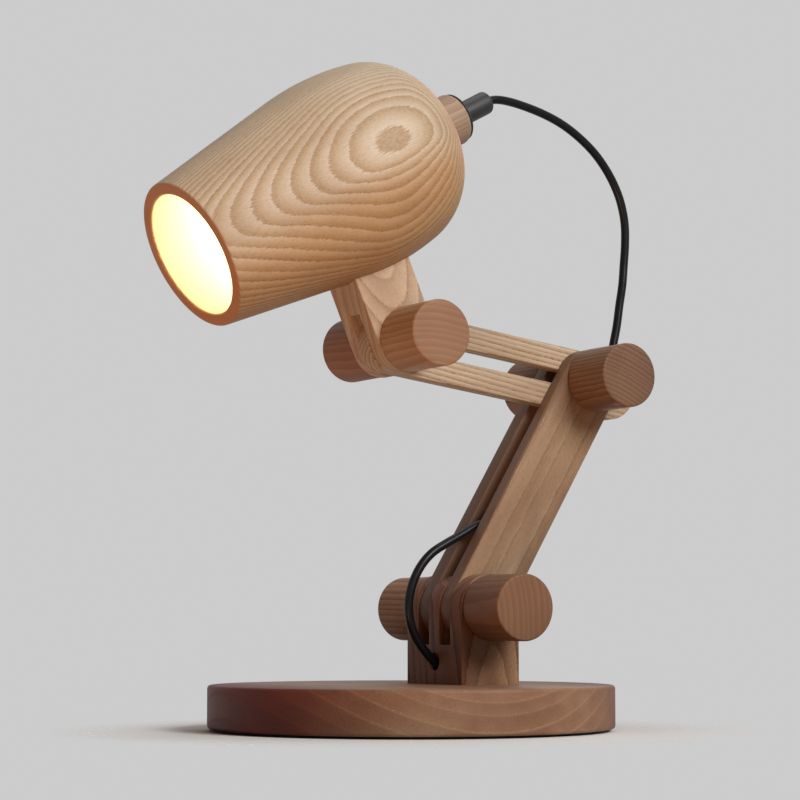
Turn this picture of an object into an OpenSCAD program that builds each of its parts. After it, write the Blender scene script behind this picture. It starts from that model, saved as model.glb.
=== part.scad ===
// Wooden desk lamp that stands like a small robot. A round base carries a slotted post, two slats
// form the lower arm, one slotted plate forms the upper arm, and a turned shade tips on a yoke.
// Three pairs of turned knobs clamp the pivots. +Z is up, the lamp faces -X and every pivot runs
// along Y: the knobs that turn are on the -Y side, called near, and the fixed ones on the far side.
// The origin is the middle of the pad that the lamp stands on. Lengths are in millimetres.

/* [Base] */
// Diameter of the base disc
base_d = 180; // [160:1:220]
// Thickness of the base disc
base_t = 19; // [17:0.5:26]
// Rounding of the base disc's edges
base_edge = 1.5; // [0.5:0.1:3]
// Thickness of the soft pad under the disc
pad_t = 2; // [1.6:0.1:3]
// How far the pad stands below the disc
pad_proud = 1; // [0.5:0.1:1.4]
// Width of the wooden rim around the pad
pad_rim = 4; // [3:0.5:8]

/* [Cord outlet] */
// Width of the cord channel under the disc
channel_w = 7; // [5:0.5:10]
// Diameter of the outlet hole in the disc's rim
outlet_d = 8; // [7:0.5:10]
// Wood left between the channel's end and the rim
outlet_len = 6; // [4:0.5:10]
// Width of the grommet's flange around the outlet hole
grommet_flange = 1.5; // [1:0.1:3]
// Thickness of the grommet's flange
grommet_flange_t = 1.2; // [0.8:0.1:2]
// Diameter of the hole through the grommet
grommet_bore_d = 6; // [5.8:0.1:6.4]

/* [Post] */
// Distance from the base's middle back to the post's middle
post_back = 27; // [0:1:45]
// Depth of the post from front to back
post_w = 30; // [28:0.5:36]
// Height of the lower pivot above the disc
post_pivot_h = 33.8; // [32:0.2:50]
// Thickness of each outer cheek of the post
post_cheek_t = 9.5; // [6:0.5:14]
// Gap between a slat's round end and the floor of its slot
post_floor_gap = 1.8; // [0.5:0.1:3]
// Height of the cord's entry hole above the disc
cord_hole_h = 10; // [8:0.5:12]
// Diameter of the cord's entry hole
cord_hole_d = 5.6; // [5:0.1:6]
// Slant of the cord's entry hole below level, in degrees
cord_hole_slant = 40; // [30:1:42]
// Distance from the post's front face back to the wire way
wire_way_back = 10.5; // [9:0.5:12]
// Diameter of the wire way down the post
wire_way_d = 7; // [5:0.5:9]
// Diameter of the wood screws that hold the post
screw_d = 4.5; // [3.5:0.5:6]
// Diameter of the screws' countersunk heads
screw_head_d = 9; // [8:0.5:11]
// Length of the screws
screw_len = 32; // [28:1:34]
// Distance of each screw from the middle of the post
screw_offset = 14; // [11:0.5:17]

/* [Arms] */
// Width of the slats and of the upper arm
bar_w = 29; // [24:0.5:30]
// Small chamfer along every edge of the flat pieces
ease = 0.6; // [0.2:0.1:1.2]
// Play on each side of a plate in its slot
play = 0.1; // [0.05:0.01:0.2]
// Thickness of each lower slat
slat_t = 9; // [6:0.2:12]
// Distance between the pivots of the lower arm
lower_len = 123.2; // [100:0.2:150]
// Lean of the lower arm back from upright, in degrees
lower_lean = 31.2; // [15:0.1:40]
// Thickness of the upper arm and of the post's middle tongue
arm_t = 8.6; // [6:0.2:12]
// Distance between the head bolt and the elbow bolt
upper_len = 100.4; // [90:0.2:120]
// Rise of the upper arm towards the head, in degrees
upper_rise = 7.5; // [0:0.1:15]
// Distance from the elbow bolt back to the middle of the arm's round tail
tail_len = 16; // [10:0.5:20]
// Distance from the head bolt forward to the middle of the arm's round nose
arm_nose = 1.8; // [0:0.1:2.4]
// Wood between the head bolt's centre and the slot's end centre
slot_start = 20; // [16:0.5:40]
// Play above and below the bolt in the slot
slot_play = 0.3; // [0.1:0.05:0.6]

/* [Yoke] */
// Depth of the yoke from front to back
yoke_w = 30; // [26:0.5:34]
// Thickness of each cheek of the yoke
yoke_cheek_t = 7.9; // [6:0.1:10]
// Lean of the yoke forward from upright, in degrees
yoke_lean = 23.5; // [18:0.5:30]
// Least gap between the upper arm's round nose and the floor of the yoke's slot
yoke_floor_gap = 1.5; // [0.5:0.1:3]
// Diameter of the dowels between yoke and shade
dowel_d = 6; // [4:0.5:7]
// Length of the dowels
dowel_len = 15; // [12:0.5:16]
// Distance of each dowel from the yoke's middle
dowel_offset = 8; // [5:0.5:9]
// How far the dowels reach past the shade's widest line towards its axis
dowel_reach = 6; // [4:0.2:6.4]

/* [Shade] */
// Tilt of the shade's axis from level, in degrees
shade_tilt = 29.2; // [20:0.1:40]
// Distance from the head bolt to the shade's axis
head_reach = 76.2; // [72:0.1:80]
// Distance from the yoke's foot point on the axis forward to the mouth
mouth_reach = 73.3; // [60:0.1:90]
// Radius of the mouth's outer edge
mouth_r = 33.4; // [30:0.1:38]
// Thickness of the wall at the mouth
mouth_wall = 5.5; // [4:0.1:7]
// Rounding of the mouth's rim
rim_edge = 1.2; // [0.5:0.1:2]
// Flare of the straight front part, in degrees
flare = 8.9; // [6:0.1:11]
// Length of the straight front part
cone_len = 68.5; // [60:0.5:76]
// Radius of the long curve along the belly
belly_r = 131.6; // [110:0.2:150]
// Slope at the end of the belly, in degrees
belly_end = 9.6; // [6:0.1:14]
// Radius of the shoulder behind the belly
shoulder_r = 30.9; // [26:0.1:34]
// Slope at the end of the shoulder, in degrees
shoulder_end = 78.5; // [74:0.5:82]
// Radius of the flat seat for the neck
neck_seat_r = 14; // [13:0.2:16]
// Thickness of the wall behind the mouth
shade_wall = 8; // [7:0.1:10]
// Radius of the flat floor inside, behind the lamp holder
floor_r = 12; // [10:0.5:14]

/* [Neck and cord grip] */
// Length of the turned neck
neck_len = 17; // [16:0.5:24]
// Radius of the neck at the shade
neck_r = 12; // [11:0.1:12.8]
// Radius of the neck where its rounded end starts
neck_end_r = 12.1; // [11.3:0.1:12.4]
// Length of the neck's rounded end
neck_round_len = 2.4; // [1.5:0.1:5]
// Radius of the neck's end face
neck_face_r = 10.2; // [8:0.1:11]
// Radius of the black washer on that face
neck_washer_r = 11.3; // [8:0.1:11.6]
// Thickness of the black washer
neck_washer_t = 1; // [0.6:0.1:2]
// Diameter of the cord grip
grip_d = 10.8; // [9.6:0.1:13]
// Length of the cord grip outside the neck
grip_len = 19; // [14:0.5:22]
// Rounding of the cord grip's end
grip_round = 2; // [1:0.1:2.5]
// Diameter of the grip's stem inside the neck
stem_d = 8; // [7:0.1:8.8]
// Length of the grip's stem inside the neck
stem_len = 8; // [6:0.5:8]

/* [Knobs] */
// Diameter of the knobs
knob_d = 29.2; // [26:0.2:34]
// Length of each knob
knob_len = 28; // [24:0.5:36]
// Rounding of the knobs' edges
knob_edge = 1; // [0.4:0.1:2]
// Diameter of the hanger bolts
bolt_d = 6; // [5:0.5:7]
// Radial clearance of every shaft in its bore
fit = 0.05; // [0.02:0.01:0.08]
// Length of wood screw thread in the fixed knob
bolt_root = 20; // [14:0.5:22]
// Length of the bolt inside the turning knob
bolt_reach = 15; // [10:0.5:18]
// Spare depth of the bore beyond the bolt's end
bolt_spare = 5; // [2:0.5:6]
// Diameter of the steel washers
washer_d = 16; // [13:0.5:20]
// Thickness of the steel washers
washer_t = 1.2; // [0.8:0.1:1.6]
// Wall of the threaded inserts
insert_wall = 1.5; // [1:0.1:2.5]
// Length of the threaded inserts
insert_len = 12; // [8:0.5:14]

/* [Lamp holder] */
// Diameter of the threaded nipple
nipple_d = 10; // [9.6:0.1:11]
// Diameter of the wire way through the nipple
nipple_bore_d = 7; // [6:0.1:7.4]
// Thread length of the nipple in the neck
nipple_in_neck = 7; // [5:0.5:7]
// Thread length of the nipple in the holder's collar
nipple_in_cap = 7; // [4:0.5:8]
// Width of the hexagon nut across its flats
nut_w = 14; // [13.4:0.2:16]
// Thickness of the nut
nut_t = 3; // [2:0.1:3.6]
// Outer radius of the holder
holder_r = 20; // [19:0.1:22]
// Wall of the holder
holder_wall = 2.5; // [1.5:0.1:2.8]
// Length of the holder's collar and dome
holder_cap_len = 14; // [13:0.5:16]
// Length of the holder's sleeve
holder_shell_len = 24; // [22:0.5:28]
// Thickness of the contact block
block_t = 4; // [3:0.1:5]
// Wall of the brass screw shell
screw_shell_wall = 0.8; // [0.5:0.1:1]
// Thickness of the centre contact
contact_t = 1.2; // [0.6:0.1:1.5]

/* [Bulb] */
// Radius over the cap's thread, E27
cap_r = 13.1; // [12.9:0.05:13.2]
// Depth of the cap's thread
cap_thread = 0.8; // [0.4:0.1:1]
// Pitch of the cap's thread
cap_pitch = 3.6; // [3:0.1:4]
// Length of the cap over its thread and contact
cap_len = 25; // [22:0.5:26]
// Radius of the round glass
glass_r = 22.5; // [20:0.5:24]
// Distance from the cap to the glass's centre
glass_drop = 27.5; // [25:0.5:30]
// Thickness of the glass
glass_t = 0.8; // [0.6:0.1:1.5]

/* [Cord] */
// Diameter of the cord
cord_d = 4; // [4:0.01:4.08]

/* [Hidden] */
$fn = 96;

// Colours of the materials
oak_light = "#c0a681";
oak_mid = "#ae8c70";
oak_dark = "#7e5b47";
steel = "silver";
brass = "#c8a55a";
black = "#2a292c";

// Extra length of a cutter past the face that it leaves through
over = 1;
// Steps along a rounded edge and along a long curve
edge_steps = 5;
curve_steps = 14;

// Heights of the base
disc_bottom = pad_proud;
disc_top = disc_bottom + base_t;
recess_top = pad_t;
pad_r = base_d / 2 - pad_rim;
pad_gap = 0.2;
outlet_z = disc_bottom + base_t / 2;
wire_way_x = post_back - post_w / 2 + wire_way_back;

// Widths across the plates, all along Y
bolt_bore_r = bolt_d / 2 + fit;
slat_gap = arm_t + 2 * play;
slat_mid = slat_gap / 2 + slat_t / 2;
post_slot_w = slat_t + 2 * play;
post_slot_mid = arm_t / 2 + post_slot_w / 2;
post_depth = arm_t + 2 * post_slot_w + 2 * post_cheek_t;
yoke_depth = slat_gap + 2 * yoke_cheek_t;
post_half = post_depth / 2;
elbow_half = slat_gap / 2 + slat_t;
yoke_half = yoke_depth / 2;

// Pivots, as [x, z]
base_pivot = [post_back, disc_top + post_pivot_h];
elbow_pivot = base_pivot + lower_len * [sin(lower_lean), cos(lower_lean)];
head_pivot = elbow_pivot + upper_len * [-cos(upper_rise), sin(upper_rise)];
shade_foot = head_pivot + head_reach * [-sin(shade_tilt), cos(shade_tilt)];

// The shade's outline as [radius, place along the axis], the foot point being 0
mouth_u = -mouth_reach;
cone_end = [mouth_r + cone_len * sin(flare), mouth_u + cone_len * cos(flare)];
belly_mid = cone_end + belly_r * [-cos(flare), sin(flare)];
shoulder_mid = belly_mid + (belly_r - shoulder_r) * [cos(belly_end), sin(belly_end)];
shade_max_r = belly_mid[0] + belly_r;
neck_seat_u = seat_height(0, neck_seat_r);
floor_u = seat_height(shade_wall, floor_r);

// Places along the shade's axis of what hangs on the nipple
neck_top_u = neck_seat_u + neck_len;
grip_seat_u = neck_top_u + neck_washer_t;
grip_top_u = grip_seat_u + grip_len;
nut_bottom_u = floor_u - nut_t;
holder_joint_u = nut_bottom_u - holder_cap_len;
holder_mouth_u = holder_joint_u - holder_shell_len;
block_bottom_u = holder_joint_u - block_t;
contact_bottom_u = block_bottom_u - contact_t;
cap_bottom_u = contact_bottom_u - cap_len;
glass_mid_u = cap_bottom_u - glass_drop;
screw_shell_r = cap_r + fit;

// Route of the cord as [x, y, z]. It leaves the grip, hangs behind the lamp, passes the far side
// of the arm's tail, runs down between the slats and drops in front of them into the post.
grip_points = [for (u = [grip_top_u - 8, grip_top_u]) axis_point(u)];
loop_points = [
    [46.5, 0, 289], [54.5, 0.5, 289], [65, 1, 287.5], [76, 1.5, 285], [86, 2, 281.5], [95.5, 2.5, 276.5],
    [104, 3, 270.5], [111, 3.5, 263.5], [116.5, 4, 256], [120.5, 4.5, 248], [123, 5, 238.5],
    [123.5, 5.5, 228.5], [123, 6, 218.5], [122, 6, 208.5]
];
tail_points = [
    [120.5, 6.5, 198.5], [119, 6.6, 189], [117, 6.8, 179.9], [114.5, 6.8, 170], [111.5, 6.8, 160.7],
    [108.8, 6.8, 153.6], [105.9, 7, 147.3], [102.1, 6.5, 142]
];
elbow_points = [
    [97.9, 4.2, 137.1], [93, 2.3, 132.8], [86.5, 1.7, 128.3], [79.4, 1.1, 123], [72.3, 0.5, 117],
    [65, 0.1, 110.5], [57.5, -0.2, 104.4], [49.5, -0.5, 98.6]
];
drop_points = [
    [41.1, -0.8, 93.6], [32.9, -0.9, 90.5], [25.5, -1.1, 86.6], [17.7, -1.2, 82.7], [10.3, -1.2, 78.4],
    [4.6, -1.1, 72.6], [0.6, -0.9, 65.4], [-1.5, -0.7, 57], [-0.8, -0.4, 48.6], [2.3, -0.2, 40.8],
    [7.2, -0.1, 34.7], [12, 0, 30], [17, 0, 25.8]
];
route = concat(grip_points, loop_points, tail_points, elbow_points, drop_points);
loop_last = len(grip_points) + len(loop_points) - 1;
tail_last = loop_last + len(tail_points);
elbow_last = tail_last + len(elbow_points);
drop_last = elbow_last + len(drop_points);
cord_sides = 10;

// Points of an arc about mid, from one angle to another
function arc(mid, r, from, to, steps) =
    [for (i = [0:steps]) let (a = from + (to - from) * i / steps) mid + r * [cos(a), sin(a)]];

// Place along the axis at which the shoulder's tangent line, inset by the wall, reaches radius r
function seat_height(wall, r) =
    let (end = shoulder_mid + (shoulder_r - wall) * [cos(shoulder_end), sin(shoulder_end)])
    end[1] + (end[0] - r) / tan(shoulder_end);

// Point on the shade's axis at place u, in the lamp's frame
function axis_point(u) =
    [shade_foot[0] + u * cos(shade_tilt), 0, shade_foot[1] + u * sin(shade_tilt)];

function unit(v) = v / norm(v);

// Direction of the route at point i, from its neighbours
function heading(i) = unit(route[min(i + 1, len(route) - 1)] - route[max(i - 1, 0)]);

// Ring of the cord's tube around point i of the route
function cord_ring(i) =
    let (across = unit(cross(heading(i), [0, 1, 0])), aside = cross(across, heading(i)))
    [for (k = [0:cord_sides - 1]) let (a = 360 * k / cord_sides)
        route[i] + cord_d / 2 * (cos(a) * across + sin(a) * aside)];

// ---- Shared forms ----

// Turned body from z = 0 to z = length with both edges rounded
module turned(r, length, edge) {
    rotate_extrude() polygon(concat(
        [[0, 0]],
        arc([r - edge, edge], edge, -90, 0, edge_steps),
        arc([r - edge, length - edge], edge, 0, 90, edge_steps),
        [[0, length]]
    ));
}

// Tube from z = 0 to z = length
module tube(outer_r, inner_r, length) {
    difference() {
        cylinder(r = outer_r, h = length);
        translate([0, 0, -over]) cylinder(r = inner_r, h = length + 2 * over);
    }
}

// Round end of a plate: a disc about the Y axis with chamfered edges
module round_end(w, t) {
    half = t / 2;
    rotate([90, 0, 0]) rotate_extrude() polygon([
        [0, -half], [w / 2 - ease, -half], [w / 2, ease - half],
        [w / 2, half - ease], [w / 2 - ease, half], [0, half]
    ]);
}

// Straight stretch of a plate up +Z with chamfered edges, its thickness along Y
module straight(span, w, t) {
    x = w / 2;
    y = t / 2;
    linear_extrude(span) polygon([
        [ease - x, -y], [x - ease, -y], [x, ease - y], [x, y - ease],
        [x - ease, y], [ease - x, y], [-x, y - ease], [-x, ease - y]
    ]);
}

// Plate with two round ends, from the origin up +Z
module plate(span, w, t) {
    round_end(w, t);
    straight(span, w, t);
    translate([0, 0, span]) round_end(w, t);
}

// Cutter along Y, through everything
module cross_bore(r) {
    reach = post_depth;
    translate([0, reach, 0]) rotate([90, 0, 0]) cylinder(r = r, h = 2 * reach);
}

// Cutter for a slot across X, open at one end
module slot_cutter(y, w, from, to) {
    reach = post_w + yoke_w;
    translate([-reach / 2, y - w / 2, from]) cube([reach, w, to - from]);
}

// The turning knob's place: local z = 0 at the clamped face, +z outwards
module near_side(pivot, half) {
    translate([pivot[0], -half, pivot[1]]) rotate([90, 0, 0]) children();
}

// The fixed knob's place: local z = 0 at the clamped face, +z outwards
module far_side(pivot, half) {
    translate([pivot[0], half, pivot[1]]) rotate([-90, 0, 0]) children();
}

// The shade's frame: local z runs along its axis from the mouth towards the neck
module on_shade_axis(u = 0) {
    translate(axis_point(u)) rotate([0, 90 - shade_tilt, 0]) children();
}

// ---- Clamps: hanger bolt, two knobs, washer and threaded insert at each pivot ----

module hanger_bolt(pivot, half) {
    r = bolt_d / 2;
    taper = 5;
    tip_r = 1;
    lead = 0.8;
    low = -half - bolt_root;
    high = half + bolt_reach;
    color(steel) translate([pivot[0], 0, pivot[1]]) rotate([90, 0, 0]) rotate_extrude() polygon([
        [0, low], [tip_r, low], [r, low + taper], [r, high - lead], [r - lead, high], [0, high]
    ]);
}

module fixed_knob(pivot, half) {
    color(oak_dark) far_side(pivot, half) difference() {
        turned(knob_d / 2, knob_len, knob_edge);
        translate([0, 0, -over]) cylinder(r = bolt_bore_r, h = bolt_root + over);
    }
}

module turning_knob(pivot, half) {
    color(oak_dark) near_side(pivot, half) difference() {
        turned(knob_d / 2, knob_len, knob_edge);
        translate([0, 0, -over]) cylinder(r = washer_d / 2 + fit, h = washer_t + over);
        cylinder(r = bolt_bore_r + insert_wall + fit, h = washer_t + insert_len);
        cylinder(r = bolt_bore_r, h = bolt_reach + bolt_spare);
    }
}

module clamp_washer(pivot, half) {
    color(steel) near_side(pivot, half) tube(washer_d / 2, bolt_bore_r, washer_t);
}

module threaded_insert(pivot, half) {
    color(brass) near_side(pivot, half) translate([0, 0, washer_t])
        tube(bolt_bore_r + insert_wall, bolt_bore_r, insert_len);
}

module base_bolt() { hanger_bolt(base_pivot, post_half); }
module base_knob_far() { fixed_knob(base_pivot, post_half); }
module base_washer() { clamp_washer(base_pivot, post_half); }
module base_knob_near() { turning_knob(base_pivot, post_half); }
module base_insert() { threaded_insert(base_pivot, post_half); }

module elbow_bolt() { hanger_bolt(elbow_pivot, elbow_half); }
module elbow_knob_far() { fixed_knob(elbow_pivot, elbow_half); }
module elbow_washer() { clamp_washer(elbow_pivot, elbow_half); }
module elbow_knob_near() { turning_knob(elbow_pivot, elbow_half); }
module elbow_insert() { threaded_insert(elbow_pivot, elbow_half); }

module head_bolt() { hanger_bolt(head_pivot, yoke_half); }
module head_knob_far() { fixed_knob(head_pivot, yoke_half); }
module head_washer() { clamp_washer(head_pivot, yoke_half); }
module head_knob_near() { turning_knob(head_pivot, yoke_half); }
module head_insert() { threaded_insert(head_pivot, yoke_half); }

// ---- Base and post ----

// One wood screw up from the disc's underside, or its hole when grown by the fit
module wood_screw(grow) {
    r = screw_d / 2 + grow;
    head_r = screw_head_d / 2 + grow;
    tip = 5;
    top = recess_top + screw_len + grow;
    rotate_extrude() polygon([
        [0, recess_top], [head_r, recess_top], [r, recess_top + head_r - r],
        [r, top - tip], [grow, top], [0, top]
    ]);
}

module screw_places() {
    for (y = [-screw_offset, screw_offset]) translate([post_back, y, 0]) children();
}

module base_disc() {
    r = base_d / 2;
    rise = outlet_d / 2 + outlet_z - recess_top;
    color(oak_mid) difference() {
        translate([0, 0, disc_bottom]) turned(r, base_t, base_edge);
        cylinder(r = pad_r + pad_gap, h = recess_top);
        // Channel from below the post to the outlet in the rear rim
        translate([wire_way_x, -channel_w / 2, recess_top - over])
            cube([r - outlet_len - wire_way_x, channel_w, rise + over]);
        translate([wire_way_x, 0, recess_top]) cylinder(d = wire_way_d, h = base_t);
        translate([post_back, 0, outlet_z]) rotate([0, 90, 0]) cylinder(d = outlet_d, h = r);
        translate([r - grommet_flange_t, 0, outlet_z]) rotate([0, 90, 0])
            cylinder(d = outlet_d + 2 * grommet_flange + 2 * fit, h = base_edge + over);
        screw_places() wood_screw(fit);
    }
}

module base_pad() {
    color(black) cylinder(r = pad_r, h = pad_t);
}

module post() {
    floor_z = post_pivot_h - bar_w / 2 - post_floor_gap;
    top = post_pivot_h + post_w / 2 + over;
    hole_r = cord_hole_d / 2;
    hole_len = wire_way_back / cos(cord_hole_slant);
    hole_rim = hole_r / cos(cord_hole_slant) + ease;
    color(oak_mid) difference() {
        translate([post_back, 0, disc_top]) difference() {
            union() {
                straight(post_pivot_h, post_w, post_depth);
                translate([0, 0, post_pivot_h]) round_end(post_w, post_depth);
            }
            for (y = [-post_slot_mid, post_slot_mid]) slot_cutter(y, post_slot_w, floor_z, top);
            translate([0, 0, post_pivot_h]) cross_bore(bolt_bore_r);
            // Slanted cord entry in the front face, its eased rim, and the wire way that it meets
            translate([-post_w / 2, 0, cord_hole_h]) {
                rotate([0, 90 + cord_hole_slant, 0]) translate([0, 0, -hole_r])
                    cylinder(r = hole_r, h = hole_r + hole_len);
                rotate([0, 90, 0]) translate([0, 0, -over])
                    cylinder(r1 = hole_rim + over, r2 = 0, h = hole_rim + over);
            }
            translate([wire_way_back - post_w / 2, 0, -over]) cylinder(d = wire_way_d, h = hole_r + over);
        }
        screw_places() wood_screw(fit);
    }
}

module post_screws() {
    color(steel) screw_places() wood_screw(0);
}

module base_grommet() {
    color(black) translate([base_d / 2, 0, outlet_z]) rotate([0, -90, 0]) difference() {
        union() {
            cylinder(d = outlet_d + 2 * grommet_flange, h = grommet_flange_t);
            cylinder(r = outlet_d / 2 - fit, h = outlet_len);
        }
        translate([0, 0, -over]) cylinder(d = grommet_bore_d, h = outlet_len + 2 * over);
    }
}

// ---- Arms ----

module lower_slat(y) {
    color(oak_mid) translate([base_pivot[0], y, base_pivot[1]]) rotate([0, lower_lean, 0])
        difference() {
            plate(lower_len, bar_w, slat_t);
            cross_bore(bolt_bore_r);
            translate([0, 0, lower_len]) cross_bore(bolt_bore_r);
        }
}

module lower_slat_near() { lower_slat(-slat_mid); }
module lower_slat_far() { lower_slat(slat_mid); }

// The plate runs from the head bolt back past the elbow bolt, which can slide in the long slot
module upper_arm() {
    slot_r = bolt_d / 2 + slot_play;
    slot_end = upper_len + tail_len;
    color(oak_light) translate([head_pivot[0], 0, head_pivot[1]]) rotate([0, 90 + upper_rise, 0])
        difference() {
            translate([0, 0, -arm_nose]) plate(slot_end + arm_nose, bar_w, arm_t);
            cross_bore(bolt_bore_r);
            for (z = [slot_start, slot_end]) translate([0, 0, z]) cross_bore(slot_r);
            translate([-slot_r, -arm_t, slot_start]) cube([2 * slot_r, 2 * arm_t, slot_end - slot_start]);
        }
}

// ---- Head ----

// The shade's outer form, solid
module shade_body() {
    tangent_rise = (1 - sin(flare)) * tan(flare) - cos(flare);
    on_shade_axis() rotate_extrude() polygon(concat(
        [[0, mouth_u]],
        arc([mouth_r + rim_edge * tangent_rise, mouth_u + rim_edge], rim_edge, -90, -flare, edge_steps),
        arc(belly_mid, belly_r, -flare, belly_end, curve_steps),
        arc(shoulder_mid, shoulder_r, belly_end, shoulder_end, curve_steps),
        [[neck_seat_r, neck_seat_u], [0, neck_seat_u]]
    ));
}

// What the lathe takes out of the shade from its mouth
module shade_hollow() {
    inner_r = mouth_r - mouth_wall;
    on_shade_axis() rotate_extrude() polygon(concat(
        [[0, mouth_u - over], [inner_r + rim_edge, mouth_u - over]],
        arc([inner_r + rim_edge, mouth_u + rim_edge], rim_edge, 270, 180, edge_steps),
        arc(belly_mid, belly_r - shade_wall, -flare, belly_end, curve_steps),
        arc(shoulder_mid, shoulder_r - shade_wall, belly_end, shoulder_end, curve_steps),
        [[floor_r, floor_u], [0, floor_u]]
    ));
}

// Two dowels between yoke and shade, or their holes when grown by the fit
module dowel_pair(grow) {
    top = head_reach - shade_max_r + dowel_reach;
    translate([head_pivot[0], 0, head_pivot[1]]) rotate([0, -yoke_lean, 0])
        for (x = [-dowel_offset, dowel_offset]) translate([x, 0, top - dowel_len - grow])
            cylinder(r = dowel_d / 2 + grow, h = dowel_len + 2 * grow);
}

module shade() {
    color(oak_light) difference() {
        shade_body();
        shade_hollow();
        on_shade_axis(floor_u - over) cylinder(r = nipple_d / 2 + fit, h = neck_seat_u - floor_u + 2 * over);
        dowel_pair(fit);
    }
}

// The yoke's top is coped to the shade, so the two meet without a gap
module yoke() {
    floor_z = bar_w / 2 + arm_nose + yoke_floor_gap;
    color(oak_mid) difference() {
        translate([head_pivot[0], 0, head_pivot[1]]) rotate([0, -yoke_lean, 0]) difference() {
            union() {
                round_end(yoke_w, yoke_depth);
                straight(head_reach - shade_max_r / 2, yoke_w, yoke_depth);
            }
            slot_cutter(0, slat_gap, -yoke_w, floor_z);
            cross_bore(bolt_bore_r);
        }
        shade_body();
        dowel_pair(fit);
    }
}

module yoke_dowels() {
    color(oak_mid) dowel_pair(0);
}

module neck() {
    round_start = neck_len - neck_round_len;
    stem_room = 1;
    color(oak_light) on_shade_axis(neck_seat_u) difference() {
        rotate_extrude() polygon(concat(
            [[0, 0], [neck_r, 0]],
            [for (i = [0:edge_steps + 2]) let (a = 90 * i / (edge_steps + 2))
                [neck_face_r + (neck_end_r - neck_face_r) * cos(a), round_start + neck_round_len * sin(a)]],
            [[0, neck_len]]
        ));
        translate([0, 0, -over]) cylinder(r = nipple_d / 2 + fit, h = nipple_in_neck + over);
        translate([0, 0, -over]) cylinder(d = nipple_bore_d, h = neck_len + 2 * over);
        translate([0, 0, neck_len - stem_len - stem_room])
            cylinder(r = stem_d / 2 + fit, h = stem_len + stem_room + over);
    }
}

module neck_washer() {
    color(black) on_shade_axis(neck_top_u) tube(neck_washer_r, stem_d / 2 + fit, neck_washer_t);
}

module cord_grip() {
    bottom = -neck_washer_t - stem_len;
    color(black) on_shade_axis(grip_seat_u) difference() {
        union() {
            rotate_extrude() polygon(concat(
                [[0, 0], [grip_d / 2, 0]],
                arc([grip_d / 2 - grip_round, grip_len - grip_round], grip_round, 0, 90, edge_steps),
                [[0, grip_len]]
            ));
            translate([0, 0, bottom]) cylinder(d = stem_d, h = -bottom);
        }
        translate([0, 0, bottom - over]) cylinder(r = cord_d / 2 + fit, h = grip_len - bottom + 2 * over);
    }
}

// ---- Lamp holder and bulb ----

module threaded_nipple() {
    low = nut_bottom_u - nipple_in_cap;
    high = neck_seat_u + nipple_in_neck;
    color(steel) on_shade_axis(low) tube(nipple_d / 2, nipple_bore_d / 2, high - low);
}

module nipple_nut() {
    color(steel) on_shade_axis(nut_bottom_u) difference() {
        cylinder(r = nut_w / 2 / cos(30), h = nut_t, $fn = 6);
        translate([0, 0, -over]) cylinder(r = nipple_d / 2 + fit, h = nut_t + 2 * over);
    }
}

// Collar on the nipple and a dome over the contacts, screwed to the sleeve below
module holder_cap() {
    wall = holder_wall;
    collar_r = nipple_d / 2 + fit + wall;
    collar_len = nipple_in_cap + 0.5;
    skirt = 2;
    color(black) on_shade_axis(holder_joint_u) rotate_extrude() polygon([
        [nipple_d / 2 + fit, holder_cap_len], [collar_r, holder_cap_len],
        [collar_r, holder_cap_len - collar_len + wall], [holder_r, skirt], [holder_r, 0],
        [holder_r - wall, 0], [holder_r - wall, skirt],
        [nipple_d / 2 + fit, holder_cap_len - collar_len]
    ]);
}

module holder_shell() {
    color(black) on_shade_axis(holder_mouth_u) tube(holder_r, holder_r - holder_wall, holder_shell_len);
}

module holder_contact_block() {
    hole_d = 3;
    hole_offset = 7.5;
    color("white") on_shade_axis(block_bottom_u) difference() {
        cylinder(r = holder_r - holder_wall - fit, h = block_t);
        for (x = [-hole_offset, hole_offset]) translate([x, 0, -over])
            cylinder(d = hole_d, h = block_t + 2 * over);
    }
}

module holder_screw_shell() {
    length = holder_shell_len - block_t - 2;
    color(brass) on_shade_axis(block_bottom_u - length)
        tube(screw_shell_r + screw_shell_wall, screw_shell_r, length);
}

module centre_contact() {
    tab_r = 4;
    color(brass) on_shade_axis(contact_bottom_u) cylinder(r = tab_r, h = contact_t);
}

// Hollow round glass with a neck that tapers into the cap
module bulb_glass() {
    leave = 50;
    neck_gap = 0.6;
    color("white") on_shade_axis() difference() {
        rotate_extrude() polygon(glass_outline(glass_r, leave, cap_r - neck_gap, cap_bottom_u));
        rotate_extrude() polygon(
            glass_outline(glass_r - glass_t, leave, cap_r - neck_gap - glass_t, cap_bottom_u + over));
    }
}

function glass_outline(r, leave, neck, top) = concat(
    arc([0, glass_mid_u], r, -90, leave, 2 * curve_steps), [[neck, top], [0, top]]
);

// Threaded cap of the bulb, with its cone and contact button
module bulb_cap() {
    button_r = 4.5;
    button_t = 1.5;
    cone = 3.5;
    thread_len = cap_len - button_t - cone;
    steps = 40;
    color(steel) on_shade_axis(cap_bottom_u) rotate_extrude() polygon(concat(
        [[0, 0]],
        [for (i = [0:steps]) let (z = thread_len * i / steps)
            [cap_r - cap_thread / 2 + cap_thread / 2 * cos(360 * z / cap_pitch), z]],
        [[button_r, cap_len - button_t], [button_r, cap_len], [0, cap_len]]
    ));
}

// ---- Cord ----

// Stretch of the cord from one point of the route to another
module cord_tube(first, last) {
    n = cord_sides;
    rows = last - first;
    color(black) polyhedron(
        points = [for (i = [first:last]) each cord_ring(i)],
        faces = concat(
            [[for (k = [0:n - 1]) k]],
            [for (i = [0:rows - 1], k = [0:n - 1]) let (a = i * n + k, b = i * n + (k + 1) % n)
                [a, a + n, b + n, b]],
            [[for (k = [n - 1:-1:0]) rows * n + k]]
        )
    );
}

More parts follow.
